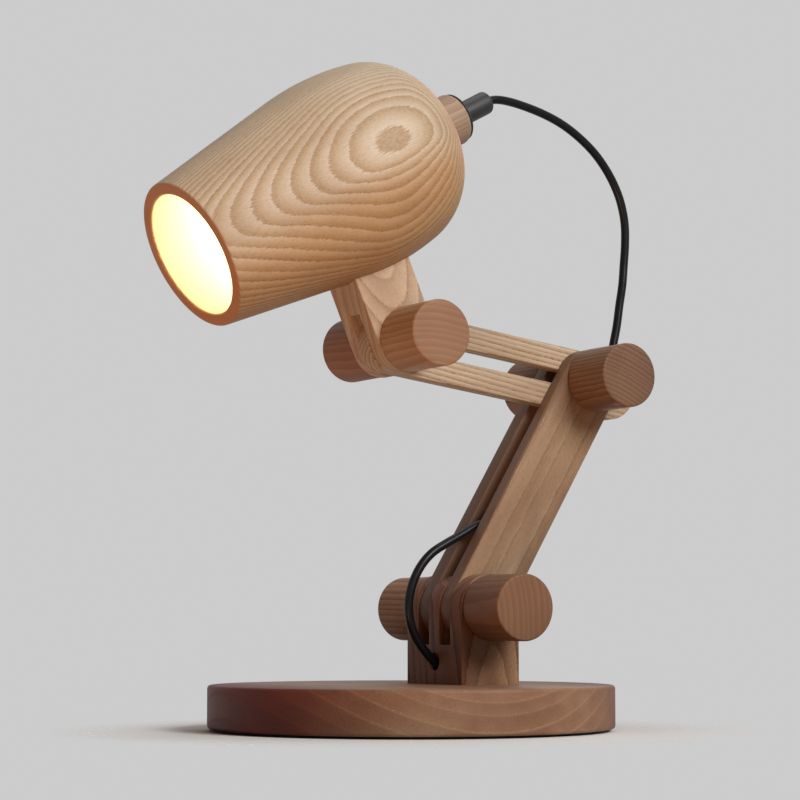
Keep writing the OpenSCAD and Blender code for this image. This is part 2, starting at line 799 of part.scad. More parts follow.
module cord_loop() { cord_tube(0, loop_last); }
module cord_tail() { cord_tube(loop_last, tail_last); }
module cord_elbow() { cord_tube(tail_last, elbow_last); }
module cord_drop() { cord_tube(elbow_last, drop_last); }

base_disc();
base_pad();
post();
post_screws();
base_grommet();
base_bolt();
base_knob_far();
base_washer();
base_knob_near();
base_insert();
lower_slat_near();
lower_slat_far();
elbow_bolt();
elbow_knob_far();
elbow_washer();
elbow_knob_near();
elbow_insert();
upper_arm();
yoke();
yoke_dowels();
shade();
neck();
neck_washer();
cord_grip();
threaded_nipple();
nipple_nut();
holder_cap();
holder_shell();
holder_contact_block();
holder_screw_shell();
centre_contact();
bulb_glass();
bulb_cap();
head_bolt();
head_knob_far();
head_washer();
head_knob_near();
head_insert();
cord_loop();
cord_tail();
cord_elbow();
cord_drop();
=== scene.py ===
"""Desk lamp with a turned wooden shade on a folding arm.

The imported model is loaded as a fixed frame. The visible wooden pieces are modelled again with their
worked edges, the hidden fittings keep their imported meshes, and every piece gets its finish.
Sizes are in millimetres unless a name or a comment says otherwise.
"""

from __future__ import annotations

import logging
import math
from collections.abc import Sequence
from dataclasses import dataclass, field
from enum import Enum

import bpy
from mathutils import Euler, Matrix, Vector


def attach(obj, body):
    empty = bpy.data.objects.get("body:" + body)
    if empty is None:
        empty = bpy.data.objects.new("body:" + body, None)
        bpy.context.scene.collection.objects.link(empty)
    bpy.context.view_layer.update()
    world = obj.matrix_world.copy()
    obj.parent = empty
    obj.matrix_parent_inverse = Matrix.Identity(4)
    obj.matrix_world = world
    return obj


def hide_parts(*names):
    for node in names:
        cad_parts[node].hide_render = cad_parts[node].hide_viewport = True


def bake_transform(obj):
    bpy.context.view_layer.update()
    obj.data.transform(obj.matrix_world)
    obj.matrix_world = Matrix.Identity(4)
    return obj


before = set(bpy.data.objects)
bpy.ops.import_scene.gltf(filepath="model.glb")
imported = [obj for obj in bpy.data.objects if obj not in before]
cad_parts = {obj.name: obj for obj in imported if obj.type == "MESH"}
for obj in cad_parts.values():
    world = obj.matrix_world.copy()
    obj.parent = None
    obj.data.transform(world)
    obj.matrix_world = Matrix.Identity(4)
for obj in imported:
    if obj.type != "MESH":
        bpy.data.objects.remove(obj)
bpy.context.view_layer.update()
LOG = logging.getLogger("desk_lamp")

MM = 0.001

Point = tuple[float, float, float]
Outline = list[tuple[float, float]]
Socket = bpy.types.NodeSocket
Tree = bpy.types.NodeTree

# Pivots of the arm and the foot of the shade, as the part's source has them
BASE_PIVOT = Vector((27.0, 0.0, 53.8))
ELBOW_PIVOT = Vector((90.821, 0.0, 159.181))
HEAD_PIVOT = Vector((-8.72, 0.0, 172.286))
SHADE_FOOT = Vector((-45.895, 0.0, 238.802))
SHADE_TILT = math.radians(29.2)
LOWER_LEAN = math.radians(31.2)
UPPER_RISE = math.radians(7.5)
YOKE_LEAN = math.radians(23.5)

# Half widths across each clamp, from the middle plane to the face that a knob bears on
POST_HALF = 23.0
ELBOW_HALF = 13.4
YOKE_HALF = 12.3

# Radius of a bolt's bore and the eased edge of the flat wooden pieces
BORE_R = 3.05
EASE = 0.6

# The cord's route in metres, from inside the grip to the post, stretch by stretch
CORD_ROUTE: list[Point] = [
    # Out of the grip and down behind the lamp
    (0.034335, 0.0, 0.283642), (0.041319, 0.0, 0.287544), (0.0465, 0.0, 0.289),
    (0.0545, 0.0005, 0.289), (0.065, 0.001, 0.2875), (0.076, 0.0015, 0.285),
    (0.086, 0.002, 0.2815), (0.0955, 0.0025, 0.2765), (0.104, 0.003, 0.2705),
    (0.111, 0.0035, 0.2635), (0.1165, 0.004, 0.256), (0.1205, 0.0045, 0.248),
    (0.123, 0.005, 0.2385), (0.1235, 0.0055, 0.2285), (0.123, 0.006, 0.2185),
    (0.122, 0.006, 0.2085),
    # Past the arm's tail
    (0.1205, 0.0065, 0.1985), (0.119, 0.0066, 0.189), (0.117, 0.0068, 0.1799),
    (0.1145, 0.0068, 0.17), (0.1115, 0.0068, 0.1607), (0.1088, 0.0068, 0.1536),
    (0.1059, 0.007, 0.1473), (0.1021, 0.0065, 0.142),
    # Down between the slats
    (0.0979, 0.0042, 0.1371), (0.093, 0.0023, 0.1328), (0.0865, 0.0017, 0.1283),
    (0.0794, 0.0011, 0.123), (0.0723, 0.0005, 0.117), (0.065, 0.0001, 0.1105),
    (0.0575, -0.0002, 0.1044), (0.0495, -0.0005, 0.0986),
    # Out in front of them and into the post
    (0.0411, -0.0008, 0.0936), (0.0329, -0.0009, 0.0905), (0.0255, -0.0011, 0.0866),
    (0.0177, -0.0012, 0.0827), (0.0103, -0.0012, 0.0784), (0.0046, -0.0011, 0.0726),
    (0.0006, -0.0009, 0.0654), (-0.0015, -0.0007, 0.057), (-0.0008, -0.0004, 0.0486),
    (0.0023, -0.0002, 0.0408), (0.0072, -0.0001, 0.0347), (0.012, 0.0, 0.03),
    (0.017, 0.0, 0.0258),
]
# Points of the route at which its stretches end
LOOP_END, TAIL_END, ELBOW_END, DROP_END = 15, 23, 31, 44
CORD_D = 4.0


# ---- Colours and nodes ----


def linear(colour: str) -> tuple[float, float, float, float]:
    """Turn an sRGB hex colour to linear light.

    Args:
        colour: the colour as "#rrggbb".

    Returns:
        Red, green, blue and full alpha.
    """
    parts = [int(colour[i : i + 2], 16) / 255 for i in (1, 3, 5)]
    r, g, b = (c / 12.92 if c <= 0.04045 else ((c + 0.055) / 1.055) ** 2.4 for c in parts)
    return (r, g, b, 1.0)


def add(
    tree: Tree,
    kind: str,
    sockets: dict | None = None,
    stops: Sequence[tuple[float, str]] = (),
    **settings: object,
) -> bpy.types.Node:
    """Add a node with its settings and links.

    Args:
        tree: the node tree that it goes into.
        kind: the node's type name, without the word ShaderNode.
        sockets: value or output socket for each input, by name or number.
        stops: places and hex colours of a colour ramp.
        settings: the node's own properties.

    Returns:
        The new node.
    """
    made = tree.nodes.new("ShaderNode" + kind)
    for name, value in settings.items():
        setattr(made, name, value)
    for key, value in (sockets or {}).items():
        if isinstance(value, Socket):
            tree.links.new(value, made.inputs[key])
        else:
            made.inputs[key].default_value = value
    for i, (place, colour) in enumerate(stops):
        elements = made.color_ramp.elements
        element = elements[i] if i < 2 else elements.new(place)
        element.position = place
        element.color = linear(colour)
    return made


def blank(name: str) -> tuple[bpy.types.Material, Tree, bpy.types.Node]:
    """Make a material with only its Principled shader.

    Args:
        name: the material's name.

    Returns:
        The material, its node tree and the shader.
    """
    material = bpy.data.materials.new(name)
    material.use_nodes = True
    tree = material.node_tree
    return material, tree, tree.nodes["Principled BSDF"]


# ---- Finishes ----


@dataclass(frozen=True)
class Fold:
    """A line along the grain past which the growth layers turn in and curve.

    Attributes:
        below: where the line is, on the log's Y.
        slope: by how much the layers turn in for each millimetre past it.
        fade: change of that slope for each millimetre along the grain.
        curve: change of that slope for each millimetre past the line.
    """

    below: float
    slope: float
    fade: float
    curve: float


@dataclass(frozen=True)
class Wood:
    """Oiled ash, sawn or turned, then sanded.

    Growth layers run round a far pith line through the solid, so that each face shows the figure its
    cut gives: close lines on a quartered face, ovals and flames on a flat one, arcs on end grain.
    A year starts with a narrow porous line, fades through tan and ends pale. In the log's frame, Z
    runs along the grain, X away from the pith and Y along the layers.

    Attributes:
        name: the material's name.
        pale, tan, band, pore: colours of late wood, early wood, the porous line and its pores.
        middle: origin of the log's frame, as a point of the lamp.
        grain, out: directions of its Z and X.
        pith: distance from that origin back to the pith line.
        layer: width of a year.
        start: share of a year that is over at the origin.
        fold: where the layers turn in, if they do.
        porous: width of the porous line, 1 being some two thirds of a year.
        heartwood_and_shading_tint: a tint laid by distance on Y: heartwood on part of the base, painted
            shading elsewhere.
        untinted_line: the line on Y that stays untinted.
            tint_from, tint_to: distances from there at which the tint starts and is full.
        calm_from, calm_to: places on Y between which the figure calms down.
        wander, drift: how far the layers wander, and over what length.
        uneven: how much the years differ in width.
        ragged: share of a year by which fibres carry a line to and fro.
        pores: least share of pores between the lines.
        inside_glare: plain pale colour without figure on the inner faces of a hollow piece, painted
            glare of the lit bulb; empty for none.
        contrast, clouds: strength of the lines and of the darker patches.
        end_grain_and_shade_tint, end_share: colour of the oiled end grain, and how much of it shows; on
            the shade also painted shade and glow.
        roughness, gloss: of the surface between the lines.
    """

    name: str
    pale: str
    tan: str
    band: str
    pore: str
    middle: Point
    grain: Point
    out: Point
    pith: float = 90.0
    layer: float = 1.6
    start: float = 0.0
    fold: Fold | None = None
    porous: float = 1.0
    heartwood_and_shading_tint: str = "#ffffff"
    untinted_line: float = 0.0
    tint_from: float = 0.0
    tint_to: float = 1.0
    calm_from: float = -200.0
    calm_to: float = -300.0
    wander: float = 0.6
    drift: float = 34.0
    uneven: float = 0.5
    ragged: float = 0.35
    pores: float = 0.10
    inside_glare: str = ""
    contrast: float = 1.0
    clouds: float = 0.35
    end_grain_and_shade_tint: str = "#8a5a38"
    end_share: float = 0.5
    roughness: float = 0.52
    gloss: float = 0.3

    def frame(self) -> Euler:
        """Turn of the log's frame: Z along the grain, X out from the pith.

        Returns:
            The turn that takes the log's frame to the lamp's.
        """
        z = Vector(self.grain).normalized()
        x = Vector(self.out)
        x = (x - x.dot(z) * z).normalized()
        return Matrix((x, z.cross(x), z)).transposed().to_euler()

    def sway(self, tree: Tree, log: Socket, slow: Socket) -> Socket:
        """Carry the points of the log to and fro, in long sways with ripples on them.

        Args:
            tree: the node tree.
            log: the points.
            slow: the same points, drawn out along the grain.

        Returns:
            The moved points.
        """
        moved = log
        for share, rough, reach in ((1.0, 0.45, 2.0), (6.0, 0.5, 0.5)):
            noise = add(tree, "TexNoise", {"Vector": slow, "Scale": share / self.drift, "Detail": 2.0,
                                           "Roughness": rough}).outputs["Color"]
            moved = add(tree, "VectorMath", {0: noise, 1: (reach * self.wander,) * 3, 2: moved},
                        operation="MULTIPLY_ADD").outputs[0]
        return moved

    def measure_reach(self, tree: Tree, moved: Socket, parts: bpy.types.Node) -> Socket:
        """Measure how far the points are from the pith, with what the fold takes off.

        Args:
            tree: the node tree.
            moved: the points after their sway.
            parts: the points' X, Y and Z before it.

        Returns:
            The distance.
        """
        # The sways and ripples are a quarter more than the wander on average
        mean = -1.25 * self.wander
        across = add(tree, "VectorMath",
                     {0: moved, 1: (1.0, 1.0, 0.0), 2: (self.pith + mean, mean, 0.0)},
                     operation="MULTIPLY_ADD").outputs[0]
        reach = add(tree, "VectorMath", {0: across}, operation="LENGTH").outputs["Value"]
        if self.fold is None:
            return reach
        past = add(tree, "Math", {0: parts.outputs["Y"], 1: -1.0, 2: self.fold.below},
                   operation="MULTIPLY_ADD").outputs[0]
        past = add(tree, "Math", {0: past, 1: 0.0, 2: 2.5}, operation="SMOOTH_MIN").outputs[0]
        slope = add(tree, "Math", {0: parts.outputs["Z"], 1: self.fold.fade, 2: self.fold.slope},
                    operation="MULTIPLY_ADD").outputs[0]
        slope = add(tree, "Math", {0: past, 1: self.fold.curve, 2: slope},
                    operation="MULTIPLY_ADD").outputs[0]
        return add(tree, "Math", {0: past, 1: slope, 2: reach}, operation="MULTIPLY_ADD").outputs[0]

    def count_years(self, tree: Tree, reach: Socket, fibre: Socket) -> Socket:
        """Count the years out to each point, some of them wide and some narrow.

        Args:
            tree: the node tree.
            reach: distance from the pith.
            fibre: the fibres, which carry the edge of a year to and fro.

        Returns:
            The count: its whole part is the year, the rest how much of that year is over.
        """
        first = self.start - self.pith / self.layer - self.ragged / 2
        years = add(tree, "Math", {0: reach, 1: 1 / self.layer, 2: first},
                    operation="MULTIPLY_ADD").outputs[0]
        years = add(tree, "Math", {0: fibre, 1: self.ragged, 2: years},
                    operation="MULTIPLY_ADD").outputs[0]
        spread = add(tree, "TexNoise", {"W": years, "Scale": 0.37, "Detail": 1.0},
                     noise_dimensions="1D").outputs["Fac"]
        return add(tree, "Math", {0: spread, 1: 2 * self.uneven, 2: years},
                   operation="MULTIPLY_ADD").outputs[0]

    def draw_lines(self, tree: Tree, years: Socket, season: Socket, y: Socket) -> Socket:
        """Draw the porous line that each year starts with, weaker on the quartered side.

        Args:
            tree: the node tree.
            years: the count of years.
            season: how much of the year is over.
            y: place along the layers.

        Returns:
            How strong the line is.
        """
        year = add(tree, "Math", {0: years}, operation="FLOOR").outputs[0]
        strength = add(tree, "TexWhiteNoise", {"W": year}, noise_dimensions="1D").outputs["Value"]
        strength = add(tree, "MapRange", {"Value": strength, "To Min": 0.6 * self.contrast,
                                          "To Max": self.contrast}).outputs[0]
        calm = add(tree, "MapRange", {"Value": y, "From Min": self.calm_from, "From Max": self.calm_to,
                                      "To Min": 1.0, "To Max": 0.3}).outputs[0]
        strength = add(tree, "Math", {0: strength, 1: calm}, operation="MULTIPLY").outputs[0]
        shape = ((0.0, "#000000"), (0.07, "#ffffff"), (0.24, "#e6e6e6"), (0.46, "#8a8a8a"),
                 (0.72, "#000000"))
        line = add(tree, "ValToRGB", {"Fac": season},
                   stops=[(place * self.porous, shade) for place, shade in shape]).outputs[0]
        return add(tree, "Math", {0: line, 1: strength}, operation="MULTIPLY",
                   use_clamp=True).outputs[0]

    def open_pores(self, tree: Tree, log: Socket, line: Socket) -> Socket:
        """Open pores 0.35 mm wide and 2 mm long, most of them in the lines.

        Args:
            tree: the node tree.
            log: the points of the log.
            line: the porous lines.

        Returns:
            How deep the pores are.
        """
        dash = add(tree, "VectorMath", {0: log, 1: (2.8, 2.8, 0.5)}, operation="MULTIPLY").outputs[0]
        pore = add(tree, "TexNoise", {"Vector": dash, "Scale": 1.0, "Detail": 1.5}).outputs["Fac"]
        pore = add(tree, "MapRange", {"Value": pore, "From Min": 0.48, "From Max": 0.66}).outputs[0]
        porous = add(tree, "MapRange", {"Value": line, "To Min": self.pores, "To Max": 1.0}).outputs[0]
        return add(tree, "Math", {0: pore, 1: porous}, operation="MULTIPLY").outputs[0]

    def colour_figure(self, tree: Tree, season: Socket, cloud: Socket, fibre: Socket, line: Socket,
                      pore: Socket) -> Socket:
        """Colour the years, the darker patches, the fibres, the lines and the pores over each other.

        Args:
            tree: the node tree.
            season: how much of the year is over.
            cloud: the patches.
            fibre: the fibres.
            line: the porous lines.
            pore: the pores.

        Returns:
            The colour.
        """
        late = add(tree, "MapRange", {"Value": season, "From Min": 0.45, "From Max": 0.96}).outputs[0]
        streak = add(tree, "MapRange", {"Value": fibre, "From Min": 0.42, "From Max": 0.75,
                                        "To Max": 0.35 * self.contrast}).outputs[0]
        # The line is broken up by its own pores
        broken = add(tree, "MapRange", {"Value": pore, "To Min": 0.62, "To Max": 1.0}).outputs[0]
        broken = add(tree, "Math", {0: line, 1: broken}, operation="MULTIPLY").outputs[0]
        pitted = add(tree, "Math", {0: pore, 1: 0.55 * self.contrast}, operation="MULTIPLY").outputs[0]
        colour: Socket | tuple[float, ...] = linear(self.tan)
        for share, coat in ((late, self.pale), (cloud, self.band), (streak, self.band),
                            (broken, self.band), (pitted, self.pore)):
            colour = add(tree, "Mix", {"Factor": share, 6: colour, 7: linear(coat)},
                         data_type="RGBA").outputs[2]
        return colour

    def tint(self, tree: Tree, colour: Socket, place: bpy.types.Node, y: Socket,
             cloud: Socket) -> Socket:
        """Tint by place along Y for heartwood and painted shading, darken the end grain and paint glare
        on inner faces.

        Args:
            tree: the node tree.
            colour: the figure's colour.
            place: the piece's own coordinates.
            y: place along the layers.
            cloud: the darker patches.

        Returns:
            The finished colour.
        """
        # Tint by distance on Y from the untinted line: heartwood on part of the base, painted shading
        # on the other pieces that use it
        heartwood_and_shading_tint = add(tree, "Math", {0: y, 1: self.untinted_line}, operation="SUBTRACT").outputs[0]
        heartwood_and_shading_tint = add(tree, "Math", {0: heartwood_and_shading_tint}, operation="ABSOLUTE").outputs[0]
        heartwood_and_shading_tint = add(tree, "Math", {0: cloud, 1: 2.0, 2: heartwood_and_shading_tint}, operation="MULTIPLY_ADD").outputs[0]
        heartwood_and_shading_tint = add(tree, "MapRange", {"Value": heartwood_and_shading_tint, "From Min": self.tint_from,
                                       "From Max": self.tint_to},
                    interpolation_type="SMOOTHSTEP").outputs[0]
        colour = add(tree, "Mix", {"Factor": heartwood_and_shading_tint, 6: colour, 7: linear(self.heartwood_and_shading_tint)},
                     data_type="RGBA", blend_type="MULTIPLY").outputs[2]
        # End grain drinks the oil and goes darker; on the shade the tint is strong enough to be painted
        # shade on the back shoulder and a painted warm glow on the rim as well
        along = add(tree, "VectorMath",
                    {0: place.outputs["Normal"], 1: Vector(self.grain).normalized()},
                    operation="DOT_PRODUCT").outputs["Value"]
        along = add(tree, "Math", {0: along}, operation="ABSOLUTE").outputs[0]
        end = add(tree, "MapRange", {"Value": along, "From Min": 0.5, "From Max": 0.97,
                                     "To Max": self.end_share}).outputs[0]
        colour = add(tree, "Mix", {"Factor": end, 6: colour, 7: linear(self.end_grain_and_shade_tint)},
                     data_type="RGBA").outputs[2]
        if not self.inside_glare:
            return colour
        # The inner faces of a hollow piece look back at its axis; a plain pale colour without figure on
        # them is painted glare of the lit bulb
        radius = add(tree, "VectorMath", {0: place.outputs["Object"], 1: Vector(self.middle) * -MM},
                     operation="ADD").outputs[0]
        away = add(tree, "VectorMath", {0: place.outputs["Normal"], 1: radius},
                   operation="DOT_PRODUCT").outputs["Value"]
        inside = add(tree, "MapRange", {"Value": away, "From Min": 0.0, "From Max": -0.01}).outputs[0]
        coat = add(tree, "Mix", {"Factor": cloud, 6: linear(self.inside_glare), 7: linear(self.pale)},
                   data_type="RGBA").outputs[2]
        return add(tree, "Mix", {"Factor": inside, 6: colour, 7: coat}, data_type="RGBA").outputs[2]

    def build(self) -> bpy.types.Material:
        """Build the wood from its layers, pores, fibres and clouds.

        Returns:
            The material.
        """
        material, tree, shader = blank(self.name)
        place = add(tree, "TexCoord")
        log = add(
            tree, "Mapping",
            {"Vector": place.outputs["Object"], "Location": Vector(self.middle) * MM,
             "Rotation": self.frame(), "Scale": (MM, MM, MM)},
            vector_type="TEXTURE",
        ).outputs[0]
        parts = add(tree, "SeparateXYZ", {0: log})
        slow = add(tree, "VectorMath", {0: log, 1: (1.0, 1.0, 0.35)}, operation="MULTIPLY").outputs[0]
        moved = self.sway(tree, log, slow)
        # Fibres some 0.5 mm wide and 10 mm long, and patches some 20 mm wide
        strand = add(tree, "VectorMath", {0: moved, 1: (2.2, 2.2, 0.10)},
                     operation="MULTIPLY").outputs[0]
        fibre = add(tree, "TexNoise", {"Vector": strand, "Scale": 1.0, "Detail": 3.0,
                                       "Roughness": 0.6}).outputs["Fac"]
        cloud = add(tree, "TexNoise", {"Vector": slow, "Scale": 1 / 19, "Detail": 2.0}).outputs["Fac"]
        cloud = add(tree, "MapRange", {"Value": cloud, "From Min": 0.38, "From Max": 0.68,
                                       "To Max": self.clouds}).outputs[0]
        years = self.count_years(tree, self.measure_reach(tree, moved, parts), fibre)
        season = add(tree, "Math", {0: years}, operation="FRACT").outputs[0]
        line = self.draw_lines(tree, years, season, parts.outputs["Y"])
        pore = self.open_pores(tree, log, line)
        colour = self.colour_figure(tree, season, cloud, fibre, line, pore)
        colour = self.tint(tree, colour, place, parts.outputs["Y"], cloud)
        tree.links.new(colour, shader.inputs["Base Color"])
        rough = add(tree, "MapRange", {"Value": line, "To Min": self.roughness,
                                       "To Max": self.roughness + 0.12}).outputs[0]
        tree.links.new(rough, shader.inputs["Roughness"])
        shader.inputs["IOR"].default_value = 1.47
        shader.inputs["Specular IOR Level"].default_value = self.gloss
        relief = add(tree, "Math", {0: pore, 1: -1.0, 2: fibre}, operation="MULTIPLY_ADD").outputs[0]
        bump = add(tree, "Bump", {"Strength": 0.16, "Distance": 0.12 * MM, "Height": relief}).outputs[0]
        tree.links.new(bump, shader.inputs["Normal"])
        return material


@dataclass(frozen=True)
class Metal:
    """Plated or bare metal turned on a lathe, with fine tool lines and a dulled surface.

    Attributes:
        name: the material's name.
        colour, worn: its colour, and that of its stains.
        roughness: of the bright surface.
    """

    name: str
    colour: str
    worn: str
    roughness: float = 0.32

    def build(self) -> bpy.types.Material:
        """Build the metal.

        Returns:
            The material.
        """
        material, tree, shader = blank(self.name)
        place = add(tree, "TexCoord").outputs["Object"]
        # Stains a few millimetres across, and tool lines drawn coarse enough to show at 0.3 mm
        stain = add(tree, "TexNoise", {"Vector": place, "Scale": 260.0, "Detail": 4.0}).outputs["Fac"]
        tool = add(tree, "TexNoise", {"Vector": place, "Scale": 3300.0, "Detail": 2.0}).outputs["Fac"]
        tone = add(tree, "MapRange", {"Value": stain, "From Min": 0.4, "From Max": 0.75}).outputs[0]
        tone = add(tree, "Mix", {"Factor": tone, 6: linear(self.colour), 7: linear(self.worn)},
                   data_type="RGBA").outputs[2]
        tree.links.new(tone, shader.inputs["Base Color"])
        rough = add(tree, "MapRange", {"Value": tool, "To Min": self.roughness - 0.08,
                                       "To Max": self.roughness + 0.14}).outputs[0]
        tree.links.new(rough, shader.inputs["Roughness"])
        shader.inputs["Metallic"].default_value = 1.0
        bump = add(tree, "Bump", {"Strength": 0.2, "Distance": 0.04 * MM, "Height": tool}).outputs[0]
        tree.links.new(bump, shader.inputs["Normal"])
        return material


@dataclass(frozen=True)
class Moulded:
    """A moulded, pressed or glazed piece: two close tones, a fine grit and a sheen.

    Attributes:
        name: the material's name.
        colour, second: its two tones.
        grit: size of its grain.
        roughness: of the surface.
        relief: how strongly the grain stands out.
        ior: index of refraction.
        coat: share of clear glaze on it.
    """

    name: str
    colour: str
    second: str
    grit: float
    roughness: float
    relief: float = 0.15
    ior: float = 1.5
    coat: float = 0.0

    def build(self) -> bpy.types.Material:
        """Build the moulded surface.

        Returns:
            The material.
        """
        material, tree, shader = blank(self.name)
        place = add(tree, "TexCoord").outputs["Object"]
        cloud = add(tree, "TexNoise", {"Vector": place, "Scale": 110.0, "Detail": 3.0}).outputs["Fac"]
        grit = add(tree, "TexNoise", {"Vector": place, "Scale": 1 / (self.grit * MM),
                                      "Detail": 2.0}).outputs["Fac"]
        tone = add(tree, "MapRange", {"Value": cloud, "From Min": 0.35, "From Max": 0.7}).outputs[0]
        tone = add(tree, "Mix", {"Factor": tone, 6: linear(self.colour), 7: linear(self.second)},
                   data_type="RGBA").outputs[2]
        tree.links.new(tone, shader.inputs["Base Color"])
        rough = add(tree, "MapRange", {"Value": grit, "To Min": self.roughness - 0.07,
                                       "To Max": self.roughness + 0.10}).outputs[0]
        tree.links.new(rough, shader.inputs["Roughness"])
        shader.inputs["IOR"].default_value = self.ior
        shader.inputs["Coat Weight"].default_value = self.coat
        bump = add(tree, "Bump", {"Strength": self.relief, "Distance": 0.05 * MM,
                                  "Height": grit}).outputs[0]
        tree.links.new(bump, shader.inputs["Normal"])
        return material


@dataclass(frozen=True)
class LitOpalGlass:
    """Opal glass of a lit bulb: white hot at its pole and warmer towards its neck.

    Attributes:
        name: the material's name.
        pole, collar: colours of the glow at either end.
        pole_u, collar_u: where along the shade's axis the glow starts to change and has changed.
        strength: of the glow.
    """

    name: str = "lit_opal_glass"
    pole: str = "#fffcf0"
    collar: str = "#fff3d8"
    pole_u: float = -40.0
    collar_u: float = -24.0
    strength: float = 10.0

    def build(self) -> bpy.types.Material:
        """Build the lit glass, its glow changing along the shade's axis.

        Returns:
            The material.
        """
        material, tree, shader = blank(self.name)
        place = add(tree, "TexCoord").outputs["Object"]
        on_axis = add(
            tree, "Mapping",
            {"Vector": place, "Location": SHADE_FOOT * MM, "Rotation": shade_turn(),
             "Scale": (MM, MM, MM)},
            vector_type="TEXTURE",
        ).outputs[0]
        height = add(tree, "SeparateXYZ", {0: on_axis}).outputs["Z"]
        cloud = add(tree, "TexNoise", {"Vector": place, "Scale": 90.0, "Detail": 2.0}).outputs["Fac"]
        height = add(tree, "Math", {0: cloud, 1: 3.0, 2: height}, operation="MULTIPLY_ADD").outputs[0]
        share = add(tree, "MapRange", {"Value": height, "From Min": self.pole_u,
                                       "From Max": self.collar_u}).outputs[0]
        glow = add(tree, "Mix", {"Factor": share, 6: linear(self.pole), 7: linear(self.collar)},
                   data_type="RGBA").outputs[2]
        tree.links.new(glow, shader.inputs["Emission Color"])
        shader.inputs["Emission Strength"].default_value = self.strength
        tree.links.new(glow, shader.inputs["Base Color"])
        shader.inputs["Roughness"].default_value = 0.3
        return material


@dataclass(frozen=True)
class CordSheath:
    """PVC sheath of a round two-core cord: near black, glossy along its top, faint draw lines."""

    name: str = "pvc_cord_sheath"
    colour: str = "#0f0e10"
    second: str = "#17161a"

    def build(self) -> bpy.types.Material:
        """Build the sheath.

        Returns:
            The material.
        """
        material, tree, shader = blank(self.name)
        place = add(tree, "TexCoord").outputs["Object"]
        # Handling marks some 4 mm across over a skin with 0.25 mm grit
        cloud = add(tree, "TexNoise", {"Vector": place, "Scale": 250.0, "Detail": 3.0}).outputs["Fac"]
        skin = add(tree, "TexNoise", {"Vector": place, "Scale": 4000.0, "Detail": 1.0}).outputs["Fac"]
        tone = add(tree, "Mix", {"Factor": cloud, 6: linear(self.colour), 7: linear(self.second)},
                   data_type="RGBA").outputs[2]
        tree.links.new(tone, shader.inputs["Base Color"])
        shader.inputs["Specular IOR Level"].default_value = 0.14
        rough = add(tree, "MapRange", {"Value": cloud, "To Min": 0.22, "To Max": 0.36}).outputs[0]
        tree.links.new(rough, shader.inputs["Roughness"])
        shader.inputs["IOR"].default_value = 1.53
        bump = add(tree, "Bump", {"Strength": 0.1, "Distance": 0.03 * MM, "Height": skin}).outputs[0]
        tree.links.new(bump, shader.inputs["Normal"])
        return material


# ---- The woods, piece by piece ----

# Pieces low on the lamp mostly get darker colours than those high on it, as painted shade where the
# light falls off towards the bottom
ALONG_LOWER = (math.sin(LOWER_LEAN), 0.012, math.cos(LOWER_LEAN))
ALONG_UPPER = (-math.cos(UPPER_RISE), 0.01, math.sin(UPPER_RISE) + 0.03)
ALONG_SHADE = (math.cos(SHADE_TILT), 0.01, math.sin(SHADE_TILT))
ALONG_YOKE = (-math.sin(YOKE_LEAN), -0.24, math.cos(YOKE_LEAN))

# Flat-sawn ash: nested ovals round an eye on the near side, drawn out towards the mouth, their lower
# halves turned in along a fold. The warm tint low on the belly is painted warm bounce light, the strong
# end tint is painted shade on the back shoulder and painted glow on the rim, and the pale inside is
# painted glare of the bulb
SHADE_ASH = Wood(
    "turned_ash_shade", "#cbbdab", "#beaa8e", "#937454", "#7a5c3f",
    middle=(-29.3, 0.0, 248.1), grain=ALONG_SHADE, out=(-0.057, -0.985, 0.162),
    pith=400.0, layer=1.65, start=0.55, fold=Fold(below=8.0, slope=0.337, fade=0.0025, curve=0.0179),
    porous=0.85, wander=0.3, drift=38.0, uneven=0.05, ragged=0.45, contrast=0.9, pores=0.35,
    clouds=0.3, end_grain_and_shade_tint="#bd7038", end_share=0.6, heartwood_and_shading_tint="#f8dfc2", untinted_line=-40.0, tint_from=40.0,
    tint_to=68.0, calm_from=-20.0, calm_to=-42.0, inside_glare="#e9cdaa",
)
# The neck's grain runs on from the shade's, with fainter lines
NECK_ASH = Wood(
    "turned_ash_neck", "#ae957c", "#a08570", "#8a6f5c", "#765c4a",
    middle=(9.0, 0.0, 269.0), grain=(math.cos(SHADE_TILT), 0.0, math.sin(SHADE_TILT)),
    out=(0.0, -0.5, 0.8), layer=1.8, contrast=0.5, end_share=0.3,
)
# Flat-sawn cheeks with a brown flame that points down
YOKE_ASH = Wood(
    "sawn_ash_yoke", "#c2ab92", "#b69e85", "#8e6c52", "#745843",
    middle=(-20.7, -12.3, 199.8), grain=ALONG_YOKE, out=(0.0, -1.0, 0.0), pith=17.0, layer=3.1,
    start=0.25, porous=0.6, wander=0.9, contrast=0.8, pores=0.45, end_share=0.2,
)
# Riftsawn plate: lengthwise lines on its edges and its sides
ARM_ASH = Wood(
    "sawn_ash_arm", "#c0b09a", "#b3a088", "#8a7056", "#705842",
    middle=(40.0, 0.0, 166.0), grain=ALONG_UPPER, out=(0.0, 0.55, 0.83), pith=80.0, layer=2.0,
    wander=0.6, contrast=1.15, end_share=0.2,
)
# Plain-sawn slat: wide quiet years with one or two fine brown lines; a tint over all but its near face
# is painted shade on its edges
SLAT_NEAR_ASH = Wood(
    "sawn_ash_slat_near", "#9f866b", "#977c61", "#755741", "#5b4231",
    middle=(59.0, -8.9, 106.0), grain=ALONG_LOWER, out=(0.86, -0.05, -0.5), pith=60.0, layer=8.5,
    start=0.35, porous=0.3, wander=1.6, contrast=0.8, pores=0.55, clouds=0.5, end_share=0.2,
    heartwood_and_shading_tint="#cec2c6", untinted_line=-4.5, tint_from=0.8, tint_to=2.0,
)
